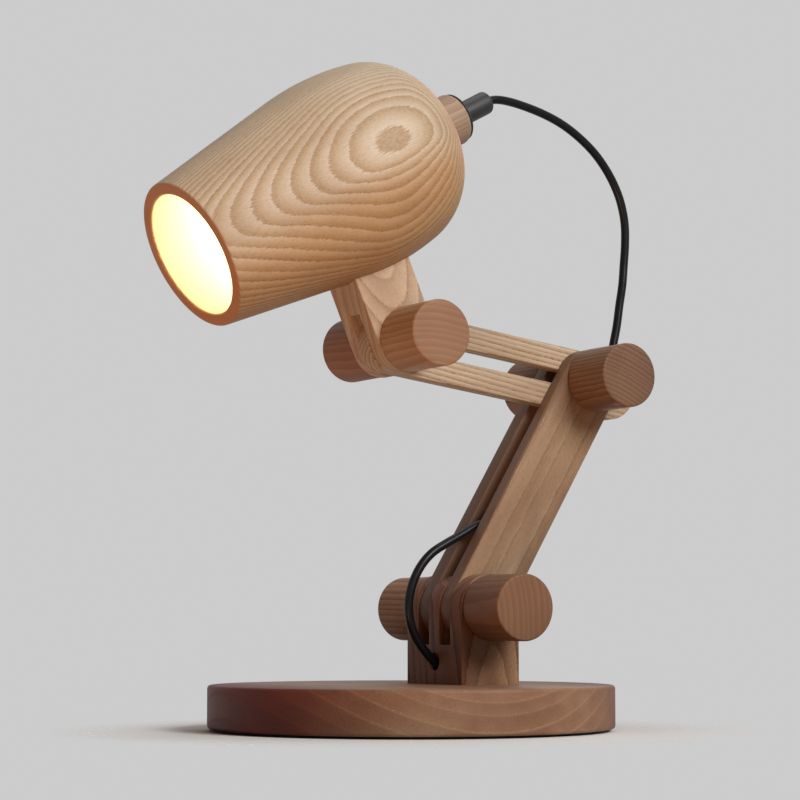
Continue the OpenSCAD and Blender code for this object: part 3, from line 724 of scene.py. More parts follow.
# The far slat has darker colours than the near one, with closer and fainter lines
SLAT_FAR_ASH = Wood(
    "sawn_ash_slat_far", "#745a4a", "#69503f", "#573d30", "#462f26",
    middle=(59.0, 8.9, 106.0), grain=ALONG_LOWER, out=(0.8, 0.3, -0.5), pith=60.0, layer=4.5,
    wander=1.2, contrast=0.6, pores=0.5, clouds=0.5, end_share=0.2,
)
# Wide board on the flat: its rim shows long pale arcs. It goes dark and red towards its left and right
# ends, partly heartwood and partly painted shade where the light falls off
BASE_ASH = Wood(
    "turned_ash_base", "#805a42", "#74503b", "#ae8c6d", "#4f3528",
    middle=(0.0, 0.0, 10.0), grain=(-0.08, -1.0, 0.0), out=(0.05, 0.0, -1.0), layer=7.0,
    start=0.35, porous=0.22, wander=1.2, drift=60.0, pores=0.5, clouds=0.3,
    end_grain_and_shade_tint="#6d4831", end_share=0.1, heartwood_and_shading_tint="#a04c34", untinted_line=3.0, tint_from=36.0, tint_to=90.0,
)
# Post on end, with a dark flame up its near face; the dark red tint on its front face is painted shade
POST_ASH = Wood(
    "sawn_ash_post", "#a37f60", "#967256", "#5b3f2f", "#412d23",
    middle=(27.0, -23.0, 36.0), grain=(0.03, 0.16, 1.0), out=(-0.1, -1.0, 0.0), pith=14.0,
    layer=4.2, start=0.4, porous=0.7, wander=0.8, contrast=1.1, pores=0.5, end_share=0.2,
    heartwood_and_shading_tint="#d0a890", untinted_line=15.0, tint_from=19.0, tint_to=31.0,
)
# Knobs turned from odd lengths, their grain along them: lines down their sides, arcs on their faces
KNOB_ASHES = (
    Wood("turned_ash_knob_head_near", "#b68e68", "#ab8058", "#8b6446", "#6e4d36",
         middle=(-8.7, -26.0, 172.3), grain=(0.0, -1.0, 0.03), out=(0.05, 0.0, 1.0), layer=3.0,
         wander=1.1, contrast=0.7, pores=0.4, end_grain_and_shade_tint="#735646", end_share=0.6),
    Wood("turned_ash_knob_head_far", "#96684a", "#895b3e", "#734a32", "#5a3a27",
         middle=(-8.7, 26.0, 172.3), grain=(0.0, 1.0, 0.05), out=(0.2, 0.0, 1.0), layer=3.4,
         wander=1.0, contrast=0.5, end_share=0.1),
    Wood("turned_ash_knob_elbow_near", "#926e52", "#825f45", "#593c2b", "#432d20",
         middle=(90.8, -27.0, 159.2), grain=(0.02, -1.0, 0.02), out=(0.38, 0.0, 0.92), layer=2.0,
         porous=0.8, wander=0.5, contrast=1.0, pores=0.3, end_grain_and_shade_tint="#503b31", end_share=0.4),
    Wood("turned_ash_knob_elbow_far", "#805f48", "#745440", "#5b4132", "#4a3327",
         middle=(90.8, 27.0, 159.2), grain=(0.02, 1.0, 0.02), out=(0.7, 0.0, 0.7), layer=2.6,
         wander=0.6, contrast=0.7, end_share=0.1),
    Wood("turned_ash_knob_base_near", "#845f46", "#76533d", "#5f412f", "#4a3223",
         middle=(27.0, -37.0, 53.8), grain=(0.0, -1.0, 0.12), out=(1.0, 0.0, 0.15), layer=3.0,
         wander=1.4, contrast=0.5, pores=0.5, end_grain_and_shade_tint="#755338", end_share=0.3),
    Wood("turned_ash_knob_base_far", "#b38863", "#a57955", "#6b4c37", "#503829",
         middle=(27.0, 37.0, 53.8), grain=(0.0, 1.0, 0.02), out=(0.1, 0.0, 1.0), layer=2.7,
         wander=0.5, contrast=0.9, end_share=0.1),
)


# ---- Placing and shaping ----


def shade_turn() -> Euler:
    """Turn that lays local Z along the shade's axis, from the mouth towards the neck.

    Returns:
        The turn.
    """
    return Euler((0.0, math.radians(90) - SHADE_TILT, 0.0))


def clear_selection() -> None:
    """Go back to object mode with nothing selected."""
    active = bpy.context.view_layer.objects.active
    if active is not None and active.mode != "OBJECT":
        bpy.ops.object.mode_set(mode="OBJECT")
    bpy.ops.object.select_all(action="DESELECT")


def pick(piece: bpy.types.Object) -> None:
    """Make a piece the only selected and active one.

    Args:
        piece: the piece.
    """
    clear_selection()
    piece.select_set(True)
    bpy.context.view_layer.objects.active = piece


def settle(
    piece: bpy.types.Object, origin: Vector = Vector(), turn: Euler = Euler()
) -> bpy.types.Object:
    """Put a piece at its place and write that place into its mesh.

    Args:
        piece: the piece, modelled about the origin.
        origin: where its origin goes, in mm.
        turn: how it is turned about its origin.

    Returns:
        The piece, with its object at the origin.
    """
    pick(piece)
    piece.matrix_world = Matrix.LocRotScale(origin * MM, turn, None) @ piece.matrix_world
    bpy.ops.object.transform_apply(location=True, rotation=True, scale=True)
    return piece


def arc(
    middle: tuple[float, float], radius: float, start: float, end: float, steps: int
) -> Outline:
    """Points of an arc in an outline.

    Args:
        middle: its middle, as radius and height.
        radius: its radius.
        start: first angle in degrees.
        end: last angle in degrees.
        steps: number of stretches.

    Returns:
        The points.
    """
    angles = [math.radians(start + (end - start) * i / steps) for i in range(steps + 1)]
    return [(middle[0] + radius * math.cos(a), middle[1] + radius * math.sin(a)) for a in angles]


def turn_piece(
    name: str, outline: Outline, sides: int = 128, through: bool = False
) -> bpy.types.Object:
    """Turn a piece about Z: a ring is added and extruded and resized along the outline.

    Args:
        name: the piece's name.
        outline: its rings as radius and height, the first one the ring that is added.
        sides: number of sides of a ring.
        through: whether the outline closes on its first ring, round a hole along the axis.

    Returns:
        The piece, smooth but for its sharp edges.
    """
    clear_selection()
    (radius, height), *rest = outline
    bpy.ops.mesh.primitive_circle_add(
        vertices=sides, radius=radius * MM, location=(0, 0, height * MM),
        fill_type="NOTHING" if through else "NGON",
    )
    piece = bpy.context.object
    piece.name = piece.data.name = name
    bpy.ops.object.transform_apply(location=True)
    bpy.ops.object.mode_set(mode="EDIT")
    bpy.ops.mesh.select_all(action="SELECT")
    for next_radius, next_height in rest:
        bpy.ops.mesh.extrude_region_move(
            TRANSFORM_OT_translate={"value": (0, 0, (next_height - height) * MM)}
        )
        share = next_radius / radius
        bpy.ops.transform.resize(value=(share, share, 1), center_override=(0, 0, next_height * MM))
        radius, height = next_radius, next_height
    bpy.ops.mesh.select_all(action="SELECT")
    bpy.ops.mesh.remove_doubles(threshold=1e-6)
    bpy.ops.mesh.normals_make_consistent(inside=False)
    bpy.ops.object.mode_set(mode="OBJECT")
    bpy.ops.object.shade_smooth_by_angle(angle=math.radians(32))
    return piece


def saw_plate(
    name: str, span: float, width: float, thickness: float, sides: int = 96
) -> bpy.types.Object:
    """Saw a plate with two round ends, from the origin up Z, its thickness along Y.

    Args:
        name: the piece's name.
        span: distance between the middles of its ends.
        width: its width along X.
        thickness: its thickness.
        sides: number of sides of the full circle of its ends.

    Returns:
        The plate.
    """
    clear_selection()
    half_step = math.pi / sides
    bpy.ops.mesh.primitive_circle_add(
        vertices=sides, radius=width / 2 / math.cos(half_step) * MM, fill_type="NGON",
        location=(0, -thickness / 2 * MM, 0), rotation=(math.pi / 2, half_step, 0),
    )
    piece = bpy.context.object
    piece.name = piece.data.name = name
    bpy.ops.object.transform_apply(location=True, rotation=True)
    bpy.ops.object.mode_set(mode="EDIT")
    bpy.ops.mesh.select_all(action="DESELECT")
    bpy.ops.object.mode_set(mode="OBJECT")
    for corner in piece.data.vertices:
        corner.select = corner.co.z > 0
    bpy.ops.object.mode_set(mode="EDIT")
    bpy.ops.transform.translate(value=(0, 0, span * MM))
    bpy.ops.mesh.select_all(action="SELECT")
    bpy.ops.mesh.extrude_region_move(TRANSFORM_OT_translate={"value": (0, thickness * MM, 0)})
    bpy.ops.mesh.select_all(action="SELECT")
    bpy.ops.mesh.normals_make_consistent(inside=False)
    bpy.ops.object.mode_set(mode="OBJECT")
    return piece


def saw_off(piece: bpy.types.Object, height: float) -> None:
    """Saw a piece off level and close the cut.

    Args:
        piece: the piece.
        height: everything below it goes.
    """
    pick(piece)
    bpy.ops.object.mode_set(mode="EDIT")
    bpy.ops.mesh.select_all(action="SELECT")
    bpy.ops.mesh.bisect(
        plane_co=(0, 0, height * MM), plane_no=(0, 0, 1), use_fill=True, clear_inner=True
    )
    bpy.ops.object.mode_set(mode="OBJECT")


def cut(piece: bpy.types.Object, cutter: bpy.types.Object) -> None:
    """Cut one piece out of another and remove the cutter.

    Args:
        piece: the piece that is cut.
        cutter: the closed form that goes out of it.
    """
    pick(piece)
    change = piece.modifiers.new("cut", "BOOLEAN")
    change.operation = "DIFFERENCE"
    change.solver = "EXACT"
    change.object = cutter
    bpy.ops.object.modifier_apply(modifier=change.name)
    bpy.data.objects.remove(cutter, do_unlink=True)


def drill(
    piece: bpy.types.Object, radius: float, depth: float, middle: Point, turn: Point = (0.0, 0.0, 0.0)
) -> None:
    """Drill a round hole along Z, or along Z turned about X and Y.

    Args:
        piece: the piece.
        radius: the hole's radius.
        depth: the cutter's length.
        middle: the cutter's middle.
        turn: its turn about each axis, in degrees.
    """
    clear_selection()
    bpy.ops.mesh.primitive_cylinder_add(
        vertices=64, radius=radius * MM, depth=depth * MM,
        location=[value * MM for value in middle],
        rotation=[math.radians(angle) for angle in turn],
    )
    cut(piece, bpy.context.object)


def bore_across(piece: bpy.types.Object, height: float) -> None:
    """Bore the hole for a clamp's bolt along Y.

    Args:
        piece: the piece, modelled about the origin.
        height: the hole's height.
    """
    drill(piece, BORE_R, 120.0, (0.0, 0.0, height), (90.0, 0.0, 0.0))


def saw_block(piece: bpy.types.Object, middle: Point, size: Point) -> None:
    """Saw or rout a square-sided recess.

    Args:
        piece: the piece.
        middle: the cutter's middle.
        size: its lengths along each axis.
    """
    clear_selection()
    bpy.ops.mesh.primitive_cube_add(size=1, location=[value * MM for value in middle])
    cutter = bpy.context.object
    cutter.scale = [value * MM for value in size]
    bpy.ops.object.transform_apply(scale=True, location=True)
    cut(piece, cutter)


def saw_slot(piece: bpy.types.Object, y: float, width: float, low: float, high: float) -> None:
    """Saw a slot across X, open at its top.

    Args:
        piece: the piece, modelled about the origin.
        y: the slot's middle.
        width: its width along Y.
        low: its lower end.
        high: its upper end.
    """
    saw_block(piece, (0.0, y, (low + high) / 2), (80.0, width, high - low))


def join_stray_points(piece: bpy.types.Object) -> None:
    """Join points that the cuts left some microns apart, which can hold back the easing.

    Args:
        piece: the piece.
    """
    pick(piece)
    bpy.ops.object.mode_set(mode="EDIT")
    bpy.ops.mesh.select_all(action="SELECT")
    bpy.ops.mesh.remove_doubles(threshold=0.01 * MM)
    bpy.ops.object.mode_set(mode="OBJECT")


def ease_edges(piece: bpy.types.Object, width: float = EASE, steps: int = 3) -> None:
    """Sand the sharp edges of a piece round.

    Args:
        piece: the piece.
        width: width of the rounding.
        steps: number of facets of the rounding.
    """
    pick(piece)
    change = piece.modifiers.new("ease", "BEVEL")
    change.width = width * MM
    change.segments = steps
    change.limit_method = "ANGLE"
    change.angle_limit = math.radians(50)
    bpy.ops.object.modifier_apply(modifier=change.name)


def smooth(piece: bpy.types.Object, degrees: float = 32) -> None:
    """Shade a piece smooth across all edges below an angle.

    Args:
        piece: the piece.
        degrees: the angle.
    """
    pick(piece)
    bpy.ops.object.shade_smooth_by_angle(angle=math.radians(degrees))


# ---- Keeping track of what moves with what ----


class Body(Enum):
    """The bodies that carry pieces of this file, by their names in the model."""

    BASE = "base"
    BASE_KNOB = "base_clamp_knob"
    LOWER_ARM = "lower_arm"
    ELBOW = "elbow_clamp"
    ELBOW_KNOB = "elbow_clamp_knob"
    UPPER_ARM = "upper_arm"
    HEAD = "head"
    HEAD_KNOB = "head_clamp_knob"


class Stand(Enum):
    """Sides of the middle plane, as the sign of Y."""

    NEAR = -1
    FAR = 1


def fit_piece(
    piece: bpy.types.Object, node: str, body: Body, finish: bpy.types.Material
) -> None:
    """Give a finished piece its finish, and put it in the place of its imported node.

    Args:
        piece: the piece, with its place in its mesh.
        node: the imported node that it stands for.
        body: what it moves with.
        finish: its material.
    """
    piece.data.materials.clear()
    piece.data.materials.append(finish)
    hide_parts(node)
    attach(piece, body.value)
    LOG.info("%s: %d faces, rides on %s", piece.name, len(piece.data.polygons), body.value)


def dress_node(node: str, finish: bpy.types.Material) -> None:
    """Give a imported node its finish, in its own slots.

    Args:
        node: the node's name.
        finish: its material.
    """
    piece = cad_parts[node]
    for slot in piece.material_slots:
        slot.material = finish
    LOG.info("%s: packed mesh, %s", node, finish.name)


# ---- Studio ----


@dataclass
class Studio:
    """Camera, pale floor, surroundings and lamps.

    Attributes:
        focal_px: focal length in pixels of a frame 800 pixels wide.
        distance, aside, height: the camera's place, from the lamp's middle back, right and up.
        yaw, pitch: its turn to the side and its look upwards, in degrees.
        backdrop, floor_colour: colours behind and under the lamp.
        floor_radius: radius of the floor disc.
        fade_from, fade_to: distances in metres between which the floor fades into the backdrop.
        ambient, ambient_colour: strength and colour of the light from all round.
    """

    focal_px: float = 2338.8
    distance: float = 1043.1
    yaw: float = 30.85
    pitch: float = 5.6
    aside: float = -4.91
    height: float = 44.36
    backdrop: str = "#cccccc"
    floor_colour: str = "#dedede"
    floor_radius: float = 620.0
    fade_from: float = 0.095
    fade_to: float = 0.17
    ambient: float = 0.17
    ambient_colour: str = "#ffead7"

    def set_camera(self) -> None:
        """Place the camera at the lamp's left front, a little above the base, looking slightly up."""
        yaw, pitch = math.radians(self.yaw), math.radians(self.pitch)
        back = Vector((-math.sin(yaw), -math.cos(yaw), 0))
        right = Vector((math.cos(yaw), -math.sin(yaw), 0))
        up = Vector((0, 0, 1))
        look = -back * math.cos(pitch) + up * math.sin(pitch)
        lens = bpy.data.cameras.new("camera")
        lens.sensor_width = 36
        lens.lens = self.focal_px * 36 / 800
        lens.clip_start, lens.clip_end = 0.05, 20
        camera = bpy.data.objects.new("camera", lens)
        camera.location = (back * self.distance + right * self.aside + up * self.height) * MM
        camera.rotation_euler = look.to_track_quat("-Z", "Y").to_euler()
        bpy.context.collection.objects.link(camera)
        bpy.context.scene.camera = camera

    def lay_floor(self) -> None:
        """Lay a pale disc under the lamp that fades out into the surroundings."""
        clear_selection()
        bpy.ops.mesh.primitive_circle_add(
            vertices=96, radius=self.floor_radius * MM, fill_type="NGON", location=(0, 0, -0.1 * MM)
        )
        floor = bpy.context.object
        floor.name = "floor"
        bpy.ops.object.transform_apply(location=True)
        material, tree, shader = blank("pale_floor")
        place = add(tree, "TexCoord").outputs["Object"]
        reach = add(tree, "VectorMath", {0: place}, operation="LENGTH").outputs["Value"]
        fade = add(tree, "MapRange", {"Value": reach, "From Min": self.fade_from,
                                      "From Max": self.fade_to, "To Min": 1.0, "To Max": 0.0},
                   interpolation_type="SMOOTHSTEP").outputs[0]
        shader.inputs["Base Color"].default_value = linear(self.floor_colour)
        shader.inputs["Roughness"].default_value = 0.9
        shader.inputs["Specular IOR Level"].default_value = 0.0
        tree.links.new(fade, shader.inputs["Alpha"])
        floor.data.materials.append(material)

    def set_world(self) -> None:
        """Show the backdrop grey to the camera and in gloss, and light softly from all round."""
        world = bpy.data.worlds.new("surroundings")
        bpy.context.scene.world = world
        world.use_nodes = True
        tree = world.node_tree
        soft = tree.nodes["Background"]
        soft.inputs["Color"].default_value = linear(self.ambient_colour)
        soft.inputs["Strength"].default_value = self.ambient
        seen = add(tree, "Background", {"Color": linear(self.backdrop), "Strength": 1.0})
        ray = add(tree, "LightPath")
        glossy = add(tree, "Math", {0: ray.outputs["Is Camera Ray"], 1: ray.outputs["Is Glossy Ray"]},
                     operation="MAXIMUM").outputs[0]
        clear = add(tree, "Math", {0: glossy, 1: ray.outputs["Is Transmission Ray"]},
                    operation="MAXIMUM").outputs[0]
        both = add(tree, "MixShader", {0: clear, 1: soft.outputs[0], 2: seen.outputs[0]})
        tree.links.new(both.outputs[0], tree.nodes["World Output"].inputs["Surface"])

    def hang_lamp(self, name: str, towards: Point, power: float, size: float, colour: str) -> None:
        """Hang one soft square lamp 1.6 m away that points at the middle of the lamp.

        Args:
            name: the lamp's name.
            towards: direction from the object to the lamp.
            power: watts.
            size: side of its square, in metres.
            colour: its colour.
        """
        data = bpy.data.lights.new(name, "AREA")
        data.shape = "SQUARE"
        data.size = size
        data.energy = power
        data.color = linear(colour)[:3]
        lamp = bpy.data.objects.new(name, data)
        middle = Vector((0.02, 0, 0.14))
        lamp.location = middle + Vector(towards).normalized() * 1.6
        lamp.rotation_euler = (middle - lamp.location).to_track_quat("-Z", "Y").to_euler()
        bpy.context.collection.objects.link(lamp)

    def set_up(self) -> None:
        """Set up the whole studio."""
        bpy.context.scene.view_settings.view_transform = "Standard"
        self.set_camera()
        self.set_world()
        self.lay_floor()
        self.hang_lamp("key_lamp", (0.16, -0.87, 0.47), 24.0, 0.7, "#fffdfa")
        self.hang_lamp("top_lamp", (0.15, 0.1, 1.0), 4.5, 0.8, "#ffffff")
        self.hang_lamp("rear_lamp", (0.75, 0.65, 0.55), 2.0, 0.9, "#ffffff")
        # What a table would throw back of the lamp's own light
        self.hang_lamp("bounce_lamp", (-0.72, -0.52, -0.42), 10.0, 0.6, "#ffbc88")


# ---- Cord ----


@dataclass
class Cord:
    """The cord from the grip to the post, in four stretches.

    Attributes:
        finish: the sheath's material.
        fineness: points of the smooth line for each stretch between two points of the route.
        line: the smooth line, in metres.
    """

    finish: bpy.types.Material
    fineness: int = 6
    line: list[Vector] = field(default_factory=list)

    def draw_line(self) -> None:
        """Draw the smooth line through the route, the same number of points for every stretch of it."""
        route = [Vector(p) for p in CORD_ROUTE]
        ends = [route[0] * 2 - route[1], *route, route[-1] * 2 - route[-2]]
        for a, b, c, d in zip(ends, ends[1:], ends[2:], ends[3:]):
            for i in range(self.fineness):
                t = i / self.fineness
                self.line.append(0.5 * (2 * b + (c - a) * t + (2 * a - 5 * b + 4 * c - d) * t**2
                                        + (3 * b - a - 3 * c + d) * t**3))
        self.line.append(route[-1])

    def pull_stretch(self, node: str, first: int, last: int) -> None:
        """Args:
            node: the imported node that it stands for.
            first: first point of the route.
            last: last point of the route.
        """
        path = self.line[first * self.fineness : last * self.fineness + 1]
        clear_selection()
        data = bpy.data.curves.new(node + "_line", "CURVE")
        data.dimensions = "3D"
        data.bevel_depth = CORD_D / 2 * MM
        data.bevel_resolution = 6
        data.use_fill_caps = True
        spline = data.splines.new("POLY")
        spline.points.add(len(path) - 1)
        for point, place in zip(spline.points, path):
            point.co = (*place, 1.0)
        sheath = bpy.data.objects.new(node + "_sheath", data)
        bpy.context.collection.objects.link(sheath)
        pick(sheath)
        bpy.ops.object.convert(target="MESH")
        sheath = bpy.context.object
        bpy.ops.object.mode_set(mode="EDIT")
        bpy.ops.mesh.select_all(action="SELECT")
        bpy.ops.mesh.remove_doubles(threshold=1e-6)
        bpy.ops.mesh.normals_make_consistent(inside=False)
        bpy.ops.object.mode_set(mode="OBJECT")
        smooth(sheath, 50)
        sheath.data.materials.clear()
        sheath.data.materials.append(self.finish)
        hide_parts(node)
        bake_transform(sheath)

    def build(self) -> None:
        """Build the four stretches."""
        self.draw_line()
        self.pull_stretch("cord_loop", 0, LOOP_END)
        self.pull_stretch("cord_tail", LOOP_END, TAIL_END)
        self.pull_stretch("cord_elbow", TAIL_END, ELBOW_END)
        self.pull_stretch("cord_drop", ELBOW_END, DROP_END)


# ---- Clamps ----


@dataclass
class Clamp:
    """A bolt through a joint with a fixed knob on its far end and a turning knob on its near end.

    Attributes:
        name: start of its nodes' names.
        pivot: its place.
        half: distance from the middle plane to the faces that the knobs bear on.
        far_body, near_body: what its knobs ride on.
        near_finish, far_finish, steel, brass: materials of the knobs, bolt and washer, and insert.
        knob_r, knob_len, edge: the knobs' radius, length and rounding.
        bore_len: depth of the bolt's bore.
        insert_r, insert_len: radius of the insert's seat, and how deep it goes.
        recess_r, recess: radius and depth of the washer's recess.
        tip: radius at which an outline ends short of the axis.
    """

    name: str
    pivot: Vector
    half: float
    far_body: Body
    near_body: Body
    near_finish: bpy.types.Material
    far_finish: bpy.types.Material
    steel: bpy.types.Material
    brass: bpy.types.Material
    knob_r: float = 14.6
    knob_len: float = 28.0
    edge: float = 1.0
    bore_len: float = 20.0
    insert_r: float = 4.6
    insert_len: float = 13.2
    recess_r: float = 8.05
    recess: float = 1.2
    tip: float = 0.4

    def shape_knob(self, side: Stand) -> bpy.types.Object:
        """Turn one knob with its rounded edges, its bore and, on the near side, the washer's recess.

        Args:
            side: which side of the joint it is on.

        Returns:
            The knob at its place.
        """
        low = arc((self.knob_r - self.edge, self.edge), self.edge, -90, 0, 6)
        high = arc((self.knob_r - self.edge, self.knob_len - self.edge), self.edge, 0, 90, 6)
        face_r = self.knob_r - 4
        outside = [(face_r, 0.0), *low, *high, (face_r, self.knob_len), (self.tip, self.knob_len)]
        hole = [(self.tip, self.bore_len), (BORE_R, self.bore_len)]
        if side is Stand.NEAR:
            hole += [(BORE_R, self.insert_len), (self.insert_r, self.insert_len),
                     (self.insert_r, self.recess), (self.recess_r, self.recess), (self.recess_r, 0.0)]
        else:
            hole.append((BORE_R, 0.0))
        name = f"{self.name}_knob_{side.name.lower()}"
        knob = turn_piece(name + "_turned", hole + outside, sides=96)
        lay = Euler((math.radians(90 if side is Stand.NEAR else -90), 0, 0))
        return settle(knob, self.pivot + Vector((0, side.value * self.half, 0)), lay)

    def build(self) -> None:
        """Build both knobs and dress the bolt, the washer and the insert."""
        fit_piece(self.shape_knob(Stand.NEAR), f"{self.name}_knob_near", self.near_body,
                  self.near_finish)
        fit_piece(self.shape_knob(Stand.FAR), f"{self.name}_knob_far", self.far_body,
                  self.far_finish)
        dress_node(f"{self.name}_bolt", self.steel)
        dress_node(f"{self.name}_washer", self.steel)
        dress_node(f"{self.name}_insert", self.brass)


# ---- Base ----


@dataclass
class Base:
    """Round wooden base with its pad below and the slotted post on it.

    Attributes:
        disc_finish, post_finish, pad, steel, rubber: materials of the disc, post, pad, screws and
            grommet.
        radius, bottom, top, edge: the disc's radius, underside, upper face and rounding.
        pad_r, pad_top: radius and upper face of the pad's recess.
        channel_from, channel_to, channel_w, channel_top: ends, width and height of the wire channel.
        wire_r: radius of the wires' way up into the post.
        outlet_h, outlet_r: height and radius of the hole for the mains lead.
        flange_r, flange_from: radius and inner face of the seat for its grommet.
        post_x, post_w, post_depth, pivot_h: the post's place, width, depth and pivot above the disc.
        slot_w, slot_mid, slot_floor: its slots' width, distance from the middle and floor.
        hole_h, hole_r, hole_slant: height, radius and slant in degrees of the cord's entry.
    """

    disc_finish: bpy.types.Material
    post_finish: bpy.types.Material
    pad: bpy.types.Material
    steel: bpy.types.Material
    rubber: bpy.types.Material
    radius: float = 90.0
    bottom: float = 1.0
    top: float = 20.0
    edge: float = 1.5
    pad_r: float = 86.2
    pad_top: float = 2.0
    channel_from: float = 22.5
    channel_to: float = 84.0
    channel_w: float = 7.0
    channel_top: float = 14.5
    wire_r: float = 3.5
    outlet_h: float = 10.5
    outlet_r: float = 4.0
    flange_r: float = 5.55
    flange_from: float = 88.8
    post_x: float = 27.0
    post_w: float = 30.0
    post_depth: float = 46.0
    pivot_h: float = 33.8
    slot_w: float = 9.2
    slot_mid: float = 8.9
    slot_floor: float = 17.5
    hole_h: float = 10.0
    hole_r: float = 2.8
    hole_slant: float = 40.0

    def shape_disc(self) -> bpy.types.Object:
        """Turn the disc with its recess for the pad, and cut the wire channel and the outlet.

        Returns:
            The disc.
        """
        outline = [(0.5, self.pad_top), (self.pad_r, self.pad_top), (self.pad_r, self.bottom),
                   *arc((self.radius - self.edge, self.bottom + self.edge), self.edge, -90, 0, 6),
                   *arc((self.radius - self.edge, self.top - self.edge), self.edge, 0, 90, 6),
                   (60.0, self.top), (0.5, self.top)]
        disc = turn_piece("base_disc_turned", outline, sides=192)
        saw_block(disc, ((self.channel_from + self.channel_to) / 2, 0.0, self.channel_top / 2),
                  (self.channel_to - self.channel_from, self.channel_w, self.channel_top))
        drill(disc, self.wire_r, 30.0, (self.channel_from, 0.0, 17.0))
        drill(disc, self.outlet_r, 20.0, (88.0, 0.0, self.outlet_h), (0.0, 90.0, 0.0))
        drill(disc, self.flange_r, 10.0, (self.flange_from + 5.0, 0.0, self.outlet_h), (0.0, 90.0, 0.0))
        smooth(disc)
        return disc

    def shape_post(self) -> bpy.types.Object:
        """Saw the post, its two slots and its bore, and drill the cord's slanted entry.

        Returns:
            The post at its place.
        """
        post = saw_plate("post_sawn", self.pivot_h, self.post_w, self.post_depth)
        saw_off(post, 0.0)
        for side in Stand:
            saw_slot(post, side.value * self.slot_mid, self.slot_w, self.slot_floor, self.pivot_h + 30)
        bore_across(post, self.pivot_h)
        ease_edges(post)
        front = -self.post_w / 2
        drill(post, self.hole_r, 34.0, (front, 0.0, self.hole_h), (0.0, 90 + self.hole_slant, 0.0))
        # Countersink of the entry, standing 1 mm out of the front face
        rim = self.hole_r / math.cos(math.radians(self.hole_slant)) + EASE + 1
        clear_selection()
        bpy.ops.mesh.primitive_cone_add(
            vertices=64, radius1=rim * MM, radius2=0, depth=rim * MM, rotation=(0, math.pi / 2, 0),
            location=Vector((front + rim / 2 - 1, 0.0, self.hole_h)) * MM,
        )
        cut(post, bpy.context.object)
        drill(post, self.wire_r, 10.2, (self.channel_from - self.post_x, 0.0, -2.3))
        smooth(post)
        return settle(post, Vector((self.post_x, 0.0, self.top)))

    def build(self) -> None:
        """Build the disc and the post, and dress what is on and in them."""
        fit_piece(self.shape_disc(), "base_disc", Body.BASE, self.disc_finish)
        fit_piece(self.shape_post(), "post", Body.BASE, self.post_finish)
        dress_node("base_pad", self.pad)
        dress_node("post_screws", self.steel)
        dress_node("base_grommet", self.rubber)


# ---- Arms ----


@dataclass
class LowerArm:
    """Two slats that stand in the post's slots and hold the upper arm between them.

    Attributes:
        near_finish, far_finish: the slats' materials.
        length: distance between their bores.
        width, thickness: of each.
        middle: distance from the middle plane to the middle of each.
    """

    near_finish: bpy.types.Material
    far_finish: bpy.types.Material
    length: float = 123.2
    width: float = 29.0
    thickness: float = 9.0
    middle: float = 8.9

    def shape_slat(self, side: Stand) -> bpy.types.Object:
        """Saw one slat with its two bores and eased edges.

        Args:
            side: which side of the middle plane it is on.

        Returns:
            The slat at its place.
        """
        slat = saw_plate(f"lower_slat_{side.name.lower()}_sawn", self.length, self.width,
                         self.thickness)
        bore_across(slat, 0.0)
        bore_across(slat, self.length)
        ease_edges(slat)
        smooth(slat)
        place = BASE_PIVOT + Vector((0, side.value * self.middle, 0))
        return settle(slat, place, Euler((0, LOWER_LEAN, 0)))

    def build(self) -> None:
        """Build both slats."""
        for side, finish in ((Stand.NEAR, self.near_finish), (Stand.FAR, self.far_finish)):
            fit_piece(self.shape_slat(side), f"lower_slat_{side.name.lower()}", Body.LOWER_ARM,
                      finish)


@dataclass
class UpperArm:
    """One plate with a long slot in which the elbow bolt can be set.

    Attributes:
        finish: its material.
        length: distance from the head bolt to the middle of its round tail.
        width, thickness: of the plate.
        nose: distance from the head bolt forward to the middle of its round nose.
        slot_from, slot_r: start and half width of the slot.
    """

    finish: bpy.types.Material
    length: float = 116.4
    width: float = 29.0
    thickness: float = 8.6
    nose: float = 1.8
    slot_from: float = 20.0
    slot_r: float = 3.3

    def build(self) -> None:
        """Saw the plate with its bore and its slot."""
        arm = saw_plate("upper_arm_sawn", self.length + self.nose, self.width, self.thickness)
        settle(arm, Vector((0, 0, -self.nose)))
        bore_across(arm, 0.0)
        slot = saw_plate("slot_cutter", self.length - self.slot_from, 2 * self.slot_r, 40.0, sides=64)
        cut(arm, settle(slot, Vector((0, 0, self.slot_from))))
        ease_edges(arm)
        smooth(arm)
        settle(arm, HEAD_PIVOT, Euler((0, math.radians(90) + UPPER_RISE, 0)))
        fit_piece(arm, "upper_arm", Body.UPPER_ARM, self.finish)


# ---- Head ----


